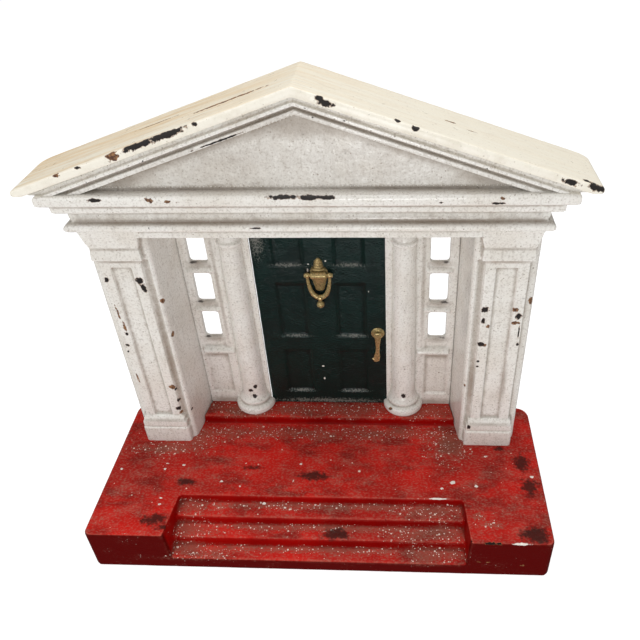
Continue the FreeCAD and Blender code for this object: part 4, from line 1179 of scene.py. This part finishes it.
@dataclass
class Screws:
    """A set of slotted countersunk screw heads on their shanks."""

    name: str
    node: str
    places: list[Point]
    turn: Point
    head: float
    shank: float
    length: float
    slot: Point = (8.0, 0.55, 1.1)
    seed: int = 3

    def build(self, frame: dict, shop: Paintshop) -> bpy.types.Object:
        """Put a screw at every place; see Casting.build."""
        pattern = Pattern(self.name)
        head, shank = pattern.value("Head radius"), pattern.value("Shank radius")
        length, turn = pattern.value("Length"), pattern.value("Turn", "Vector")
        seed, material = pattern.value("Seed", "Int"), pattern.value("Material", "Material")
        cone = pattern.node("GeometryNodeMeshCone", {"fill_type": "TRIANGLE_FAN"},
                            {"Vertices": 32, "Radius Bottom": head, "Radius Top": shank, "Depth": shank})
        rod = pattern.node("GeometryNodeMeshCylinder", {"fill_type": "TRIANGLE_FAN"},
                           {"Vertices": 24, "Radius": shank, "Depth": length})
        half = pattern.node("ShaderNodeMath", {"operation": "MULTIPLY"}, {0: length, 1: 0.5}).outputs[0]
        raised = pattern.node("GeometryNodeTransform", {},
                              {"Geometry": rod.outputs[0], "Translation": pattern.vector(0.0, 0.0, half)})
        groove = pattern.node("GeometryNodeMeshCube", {}, {"Size": tuple(side * MM for side in self.slot)})
        screw = pattern.node("GeometryNodeJoinGeometry", {},
                             {"Geometry": [cone.outputs[0], raised.outputs[0]]})
        cut = pattern.node("GeometryNodeMeshBoolean", {"operation": "DIFFERENCE"},
                           {"Mesh 1": screw.outputs[0], "Mesh 2": groove.outputs[0]})
        lean = pattern.node("FunctionNodeEulerToRotation", {}, {"Euler": turn}).outputs[0]
        entry = pattern.entry.outputs[0]
        copies = pattern.node("GeometryNodeInstanceOnPoints", {},
                              {"Points": entry, "Instance": cut.outputs[0], "Rotation": lean})
        spin = pattern.node("FunctionNodeRandomValue", {"data_type": "FLOAT"},
                            {2: 0.0, 3: math.pi, "Seed": seed}).outputs[1]
        spun = pattern.node("FunctionNodeEulerToRotation", {}, {"Euler": pattern.vector(0.0, 0.0, spin)})
        turned = pattern.node("GeometryNodeRotateInstances", {},
                              {"Instances": copies.outputs[0], "Rotation": spun.outputs[0]})
        pattern.close(turned.outputs[0], material)
        values = {"Head radius": self.head * MM, "Shank radius": self.shank * MM, "Length": self.length * MM,
                  "Turn": self.turn, "Seed": self.seed, "Material": shop.material(Finish.STEEL)}
        piece = pattern.make(values, self.places)
        return hand_over(piece, "root", Finish.STEEL, self.node)


# ---- the sub-assemblies ---------------------------------------------------------------------------
@dataclass
class Base:
    """The red coin box with its steps, floor plate and trap."""

    marks: tuple[Mark, ...] = BASE_MARKS
    screw_places: tuple[tuple[float, float], ...] = (
        (-88.0, 30.4), (88.0, 30.4), (-88.0, -22.5), (88.0, -22.5), (-40.0, 30.4), (40.0, 30.4))
    plate_bottom: float = 3.0

    def build(self, frame: dict, shop: Paintshop) -> None:
        """Build the base's pieces; see Casting.build."""
        Casting("base_casting", "root", Finish.RED, 0.62, marks=self.marks).build(frame, shop)
        Casting("floor_plate", "root", Finish.IRON, 0.75, 2, 0.10).build(frame, shop)
        Casting("coin_trap_cover", "coin_trap", Finish.IRON, 0.3, 2, 0.05).build(frame, shop)
        places = [(x, y, self.plate_bottom + 0.66) for x, y in self.screw_places]
        screws = Screws("plate_screws", "floor_plate_screws", places, (0.0, 0.0, 0.0), 2.55, 1.3, 8.0)
        screws.build(frame, shop)


@dataclass
class Front:
    """The white wall, columns and piers."""

    marks: tuple[Mark, ...] = WALL_MARKS + COLUMN_MARKS + PIER_MARKS
    base_top: float = BASE_TOP
    threshold: float = THRESHOLD_TOP
    wall_front: float = WALL_FACE

    def build(self, frame: dict, shop: Paintshop) -> None:
        """Build the wall's pieces; see Casting.build."""
        foot, base_top = self.threshold, self.base_top
        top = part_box("facade_wall")[1].z / MM
        wall = ((2, foot, -0.5), (2, top, 0.5))
        column = ((2, foot, -0.5), (2, top, 0.5), (1, self.wall_front, 0.4))
        pier = ((2, base_top, -0.5),)
        for node, spacing, passes, joints in (
                ("facade_wall", 0.42, 6, wall),
                ("left_column", 0.32, 3, column), ("right_column", 0.32, 3, column),
                ("left_pier", 0.38, 2, pier), ("right_pier", 0.38, 2, pier)):
            skin = Casting(node, "root", Finish.WHITE, spacing, passes, marks=self.marks, joints=joints)
            skin.build(frame, shop)


@dataclass
class Gable:
    """The entablature, pediment and roof."""

    marks: tuple[Mark, ...] = GABLE_MARKS
    cornice_top: float = 157.7

    def build(self, frame: dict, shop: Paintshop) -> None:
        """Build the gable's pieces; see Casting.build."""
        Casting("entablature", "root", Finish.WHITE, 0.42, marks=self.marks).build(frame, shop)
        joints = ((2, self.cornice_top, -0.6),)
        Casting("pediment", "root", Finish.WHITE, 0.33, 2, marks=self.marks, joints=joints).build(frame, shop)
        Casting("roof", "root", Finish.CREAM, 0.45, 9, marks=ROOF_MARKS).build(frame, shop)
        Beads().build(frame, shop)


@dataclass
class Door:
    """The green leaf with its knocker and lever."""

    front: float = DOOR_FACE
    knocker_y: float = 34.4
    knocker_z: float = 106.2
    handle: tuple[float, float] = (25.2, 72.7)

    def build(self, frame: dict, shop: Paintshop) -> None:
        """Build the door's pieces; see Casting.build."""
        leaf = Casting("door_leaf", "door", Finish.GREEN, 0.40, 2, 0.12, marks=DOOR_MARKS)
        leaf.build(frame, shop)
        self.knocker_plate().build(frame, shop)
        self.striker().build(frame, shop)
        self.rose().build(frame, shop)
        self.lever().build(frame, shop)

    def knocker_plate(self) -> Fitting:
        """Return the urn-shaped plate with its pivot barrel and beehive finial."""
        plate = Fitting("knocker_urn", "door", ("knocker_plate",))
        y, z = self.front, self.knocker_z
        urn = [(0.5, 96.6), (1.9, 97.2), (2.5, 99.5), (3.1, 102.0), (3.7, 104.0), (4.0, 105.0), (4.0, 107.2),
               (3.3, 108.2), (2.0, 108.7)]
        plate.lathe(urn, (0.0, y, 0.0), (0.0, 0.0, 1.0), 0.5)
        plate.lathe([(0.05, -3.75), (1.3, -3.6), (1.75, -3.1), (1.75, 3.1), (1.3, 3.6), (0.05, 3.75)],
                    (0.0, self.knocker_y + 0.35, z - 0.2), (1.0, 0.0, 0.0))
        plate.lathe([(0.1, 108.2), (3.2, 108.3), (3.3, 108.7), (2.4, 109.1), (0.1, 109.2)],
                    (0.0, y - 0.3, 0.0), (0.0, 0.0, 1.0), 0.62)
        dome = [(2.0, 109.0)]
        for ring in range(3):
            foot, wide = 109.3 + ring * 1.15, 2.25 - ring * 0.22
            dome += [(wide - 0.35, foot), (wide, foot + 0.35), (wide, foot + 0.7), (wide - 0.4, foot + 1.05)]
        dome += [(1.1, 113.0), (0.7, 113.6), (0.05, 113.8)]
        plate.lathe(dome, (0.0, y - 0.3, 0.0), (0.0, 0.0, 1.0), 0.85)
        return plate

    def striker(self) -> Fitting:
        """Return the swinging loop with its ball."""
        loop = Fitting("knocker_loop", "knocker", ("knocker_striker",))
        y, z = self.knocker_y, self.knocker_z
        for side in (-1, 1):
            route = [(side * 4.9, y, z + 0.2), (side * 4.85, y, z - 2.5), (side * 4.5, y, 101.2),
                     (side * 3.9, y, 98.4), (side * 2.9, y, 96.2), (side * 1.4, y, 94.8), (0.0, y, 94.5)]
            if side > 0:
                route = route[::-1]
            wide = [(0.75, 0.8), (0.7, 0.75), (0.8, 0.8), (0.95, 0.85), (1.1, 0.9), (1.15, 0.95), (1.2, 1.0)]
            loop.bar(route, wide if side < 0 else wide[::-1])
            loop.ball((side * 4.9, y, z), 1.3, 0.9)
        loop.lathe([(1.3, 95.2), (1.5, 94.4), (1.2, 93.6), (0.8, 93.0), (0.75, 92.6), (0.9, 92.2)],
                   (0.0, y, 0.0), (0.0, 0.0, 1.0))
        loop.ball((0.0, y, 90.8), 1.75)
        return loop

    def rose(self) -> Fitting:
        """Return the stepped round plate behind the lever."""
        rose = Fitting("lever_rose", "door", ("handle_rose",))
        x, z = self.handle
        rose.lathe([(0.1, 0.0), (3.1, 0.0), (3.15, 0.35), (2.75, 0.7), (2.5, 0.75), (2.4, 1.05), (2.0, 1.2),
                    (0.1, 1.2)], (x, self.front, z), (0.0, -1.0, 0.0))
        return rose

    def lever(self) -> Fitting:
        """Return the hanging lever, waisted, with a curled foot."""
        lever = Fitting("door_lever", "handle", ("door_handle",))
        x, z = self.handle
        y = self.front - 2.2
        lever.lathe([(0.1, 0.0), (1.75, 0.05), (1.9, 0.4), (1.9, 1.4), (1.6, 1.75), (0.1, 1.8)],
                    (x, self.front - 1.25, z), (0.0, -1.0, 0.0))
        route = [(x - left, y, z - down) for left, down in (
            (0.0, -1.7), (0.0, -0.6), (0.0, 2.5), (0.1, 6.5),
            (0.2, 9.5), (0.5, 12.5), (0.9, 14.6), (1.5, 15.4))]
        wide = [(1.5, 0.55), (1.6, 0.75), (1.35, 0.8), (0.95, 0.7),
                (1.0, 0.7), (1.5, 0.8), (1.6, 0.8), (0.7, 0.5)]
        lever.bar(route, wide)
        lever.bar([(x - 0.6, y, z - 14.2), (x - 1.8, y - 0.1, z - 14.3), (x - 2.8, y - 0.2, z - 13.5)],
                  [(0.9, 0.7), (0.7, 0.6), (0.3, 0.3)])
        return lever


@dataclass
class Hardware:
    """The fasteners that keep their CAD shape, and the wall's screws."""

    column_x: float = 37.2
    screw_z: tuple[float, float] = (52.0, 112.0)
    wall_front: float = WALL_FACE

    def build(self, frame: dict, shop: Paintshop) -> None:
        """Dress the fasteners; see Casting.build."""
        places = [(side * self.column_x, self.wall_front + 2.1, z) for side in (-1, 1) for z in self.screw_z]
        screws = Screws("wall_screws", "column_screws", places, (math.pi / 2, 0.0, 0.0), 2.25, 1.1, 4.6)
        screws.build(frame, shop)
        brass = {"knocker_pin", "latch_bar", "latch_nut"}
        for name, node in frame["nodes"].items():
            if not node.hide_render:
                shop.coat(node, Finish.BRASS if name in brass else Finish.STEEL)


# ---- studio ---------------------------------------------------------------------------------------
@dataclass
class Studio:
    """The floor, the light and the camera."""

    eye: Point = (0.0349, -0.2030, 0.2628)
    yaw: float = 3.88
    pitch: float = -36.82
    roll: float = -2.07
    lens: float = 37.05
    shift: tuple[float, float] = (-0.0673, -0.0073)

    def build(self) -> None:
        """Set everything up."""
        scene = bpy.context.scene
        scene.view_settings.view_transform = "Standard"
        self._floor()
        self._world(0.34, 0.10)
        self._lamp("sky", (0.08, 0.05, 1.10), 0.8, 8.0)
        self._lamp("window", (-0.55, -0.60, 0.80), 0.35, 1.0)
        self._lamp("front", (-0.45, -0.70, 0.55), 0.55, 1.0)
        self._lamp("low", (0.02, -0.45, 0.03), 0.12, 0.6)
        self._camera(scene)

    def _floor(self) -> None:
        """Lay a plain pale floor."""
        mesh = bpy.data.meshes.new("floor")
        far = 6.0
        mesh.from_pydata([(-far, -far, 0), (far, -far, 0), (far, far, 0), (-far, far, 0)], [], [(0, 1, 2, 3)])
        floor = object_of(mesh, "floor")
        shader = Shader("floor")
        values = {"Base Color": (0.25, 0.25, 0.25), "Roughness": 0.9,
                  "Emission Color": (1.0, 1.0, 1.0), "Emission Strength": 0.90}
        mesh.materials.append(shader.finish(values))
        floor.visible_glossy = False
        floor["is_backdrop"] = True

    def _world(self, strength: float, reflected: float) -> None:
        """Fill the room with even white light.

        Args:
            strength: How bright it is.
            reflected: How bright it shows in gloss, as if dark screens stood round the bank.
        """
        world = bpy.data.worlds.new("room")
        world.use_nodes = True
        tree = world.node_tree
        background = tree.nodes["Background"]
        background.inputs["Color"].default_value = (1.0, 0.985, 0.96, 1.0)
        ray = tree.nodes.new("ShaderNodeLightPath")
        level = tree.nodes.new("ShaderNodeMapRange")
        level.inputs["To Min"].default_value = strength
        level.inputs["To Max"].default_value = reflected
        tree.links.new(ray.outputs["Is Glossy Ray"], level.inputs["Value"])
        tree.links.new(level.outputs["Result"], background.inputs["Strength"])
        bpy.context.scene.world = world

    def _lamp(self, name: str, place: Point, size: float, power: float) -> None:
        """Hang a square lamp that points at the bank.

        Args:
            name: The lamp's name.
            place: Where it hangs, in metres.
            size: The length of its side, in metres.
            power: Its power in watts.
        """
        data = bpy.data.lights.new(name, "AREA")
        data.size = size
        data.energy = power
        lamp = bpy.data.objects.new(name, data)
        bpy.context.scene.collection.objects.link(lamp)
        lamp.location = place
        lamp.rotation_euler = (Vector((0.0, 0.0, 0.1)) - Vector(place)).to_track_quat("-Z", "Y").to_euler()

    def _camera(self, scene: bpy.types.Scene) -> None:
        """Place the camera in front of the bank, above it and looking down."""
        yaw, pitch, roll = (math.radians(a) for a in (self.yaw, self.pitch, self.roll))
        ahead = Vector((-math.sin(yaw) * math.cos(pitch), math.cos(yaw) * math.cos(pitch), math.sin(pitch)))
        level = Vector((math.cos(yaw), math.sin(yaw), 0.0))
        above = level.cross(ahead)
        right = math.cos(roll) * level + math.sin(roll) * above
        up = math.cos(roll) * above - math.sin(roll) * level
        data = bpy.data.cameras.new("camera")
        data.lens = self.lens
        data.shift_x, data.shift_y = self.shift
        data.clip_start = 0.01
        camera = bpy.data.objects.new("camera", data)
        scene.collection.objects.link(camera)
        camera.matrix_world = Matrix.Translation(self.eye) @ Matrix((right, up, -ahead)).transposed().to_4x4()
        scene.camera = camera


def main() -> None:
    """Build the bank and the studio."""
    logging.basicConfig(level=logging.INFO, format="%(name)s: %(message)s")
    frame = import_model()
    shop = Paintshop()
    for part in (Base(), Front(), Gable(), Door(), Hardware()):
        part.build(frame, shop)
    Studio().build()
    bpy.context.view_layer.update()


if __name__ == "__main__":
    main()
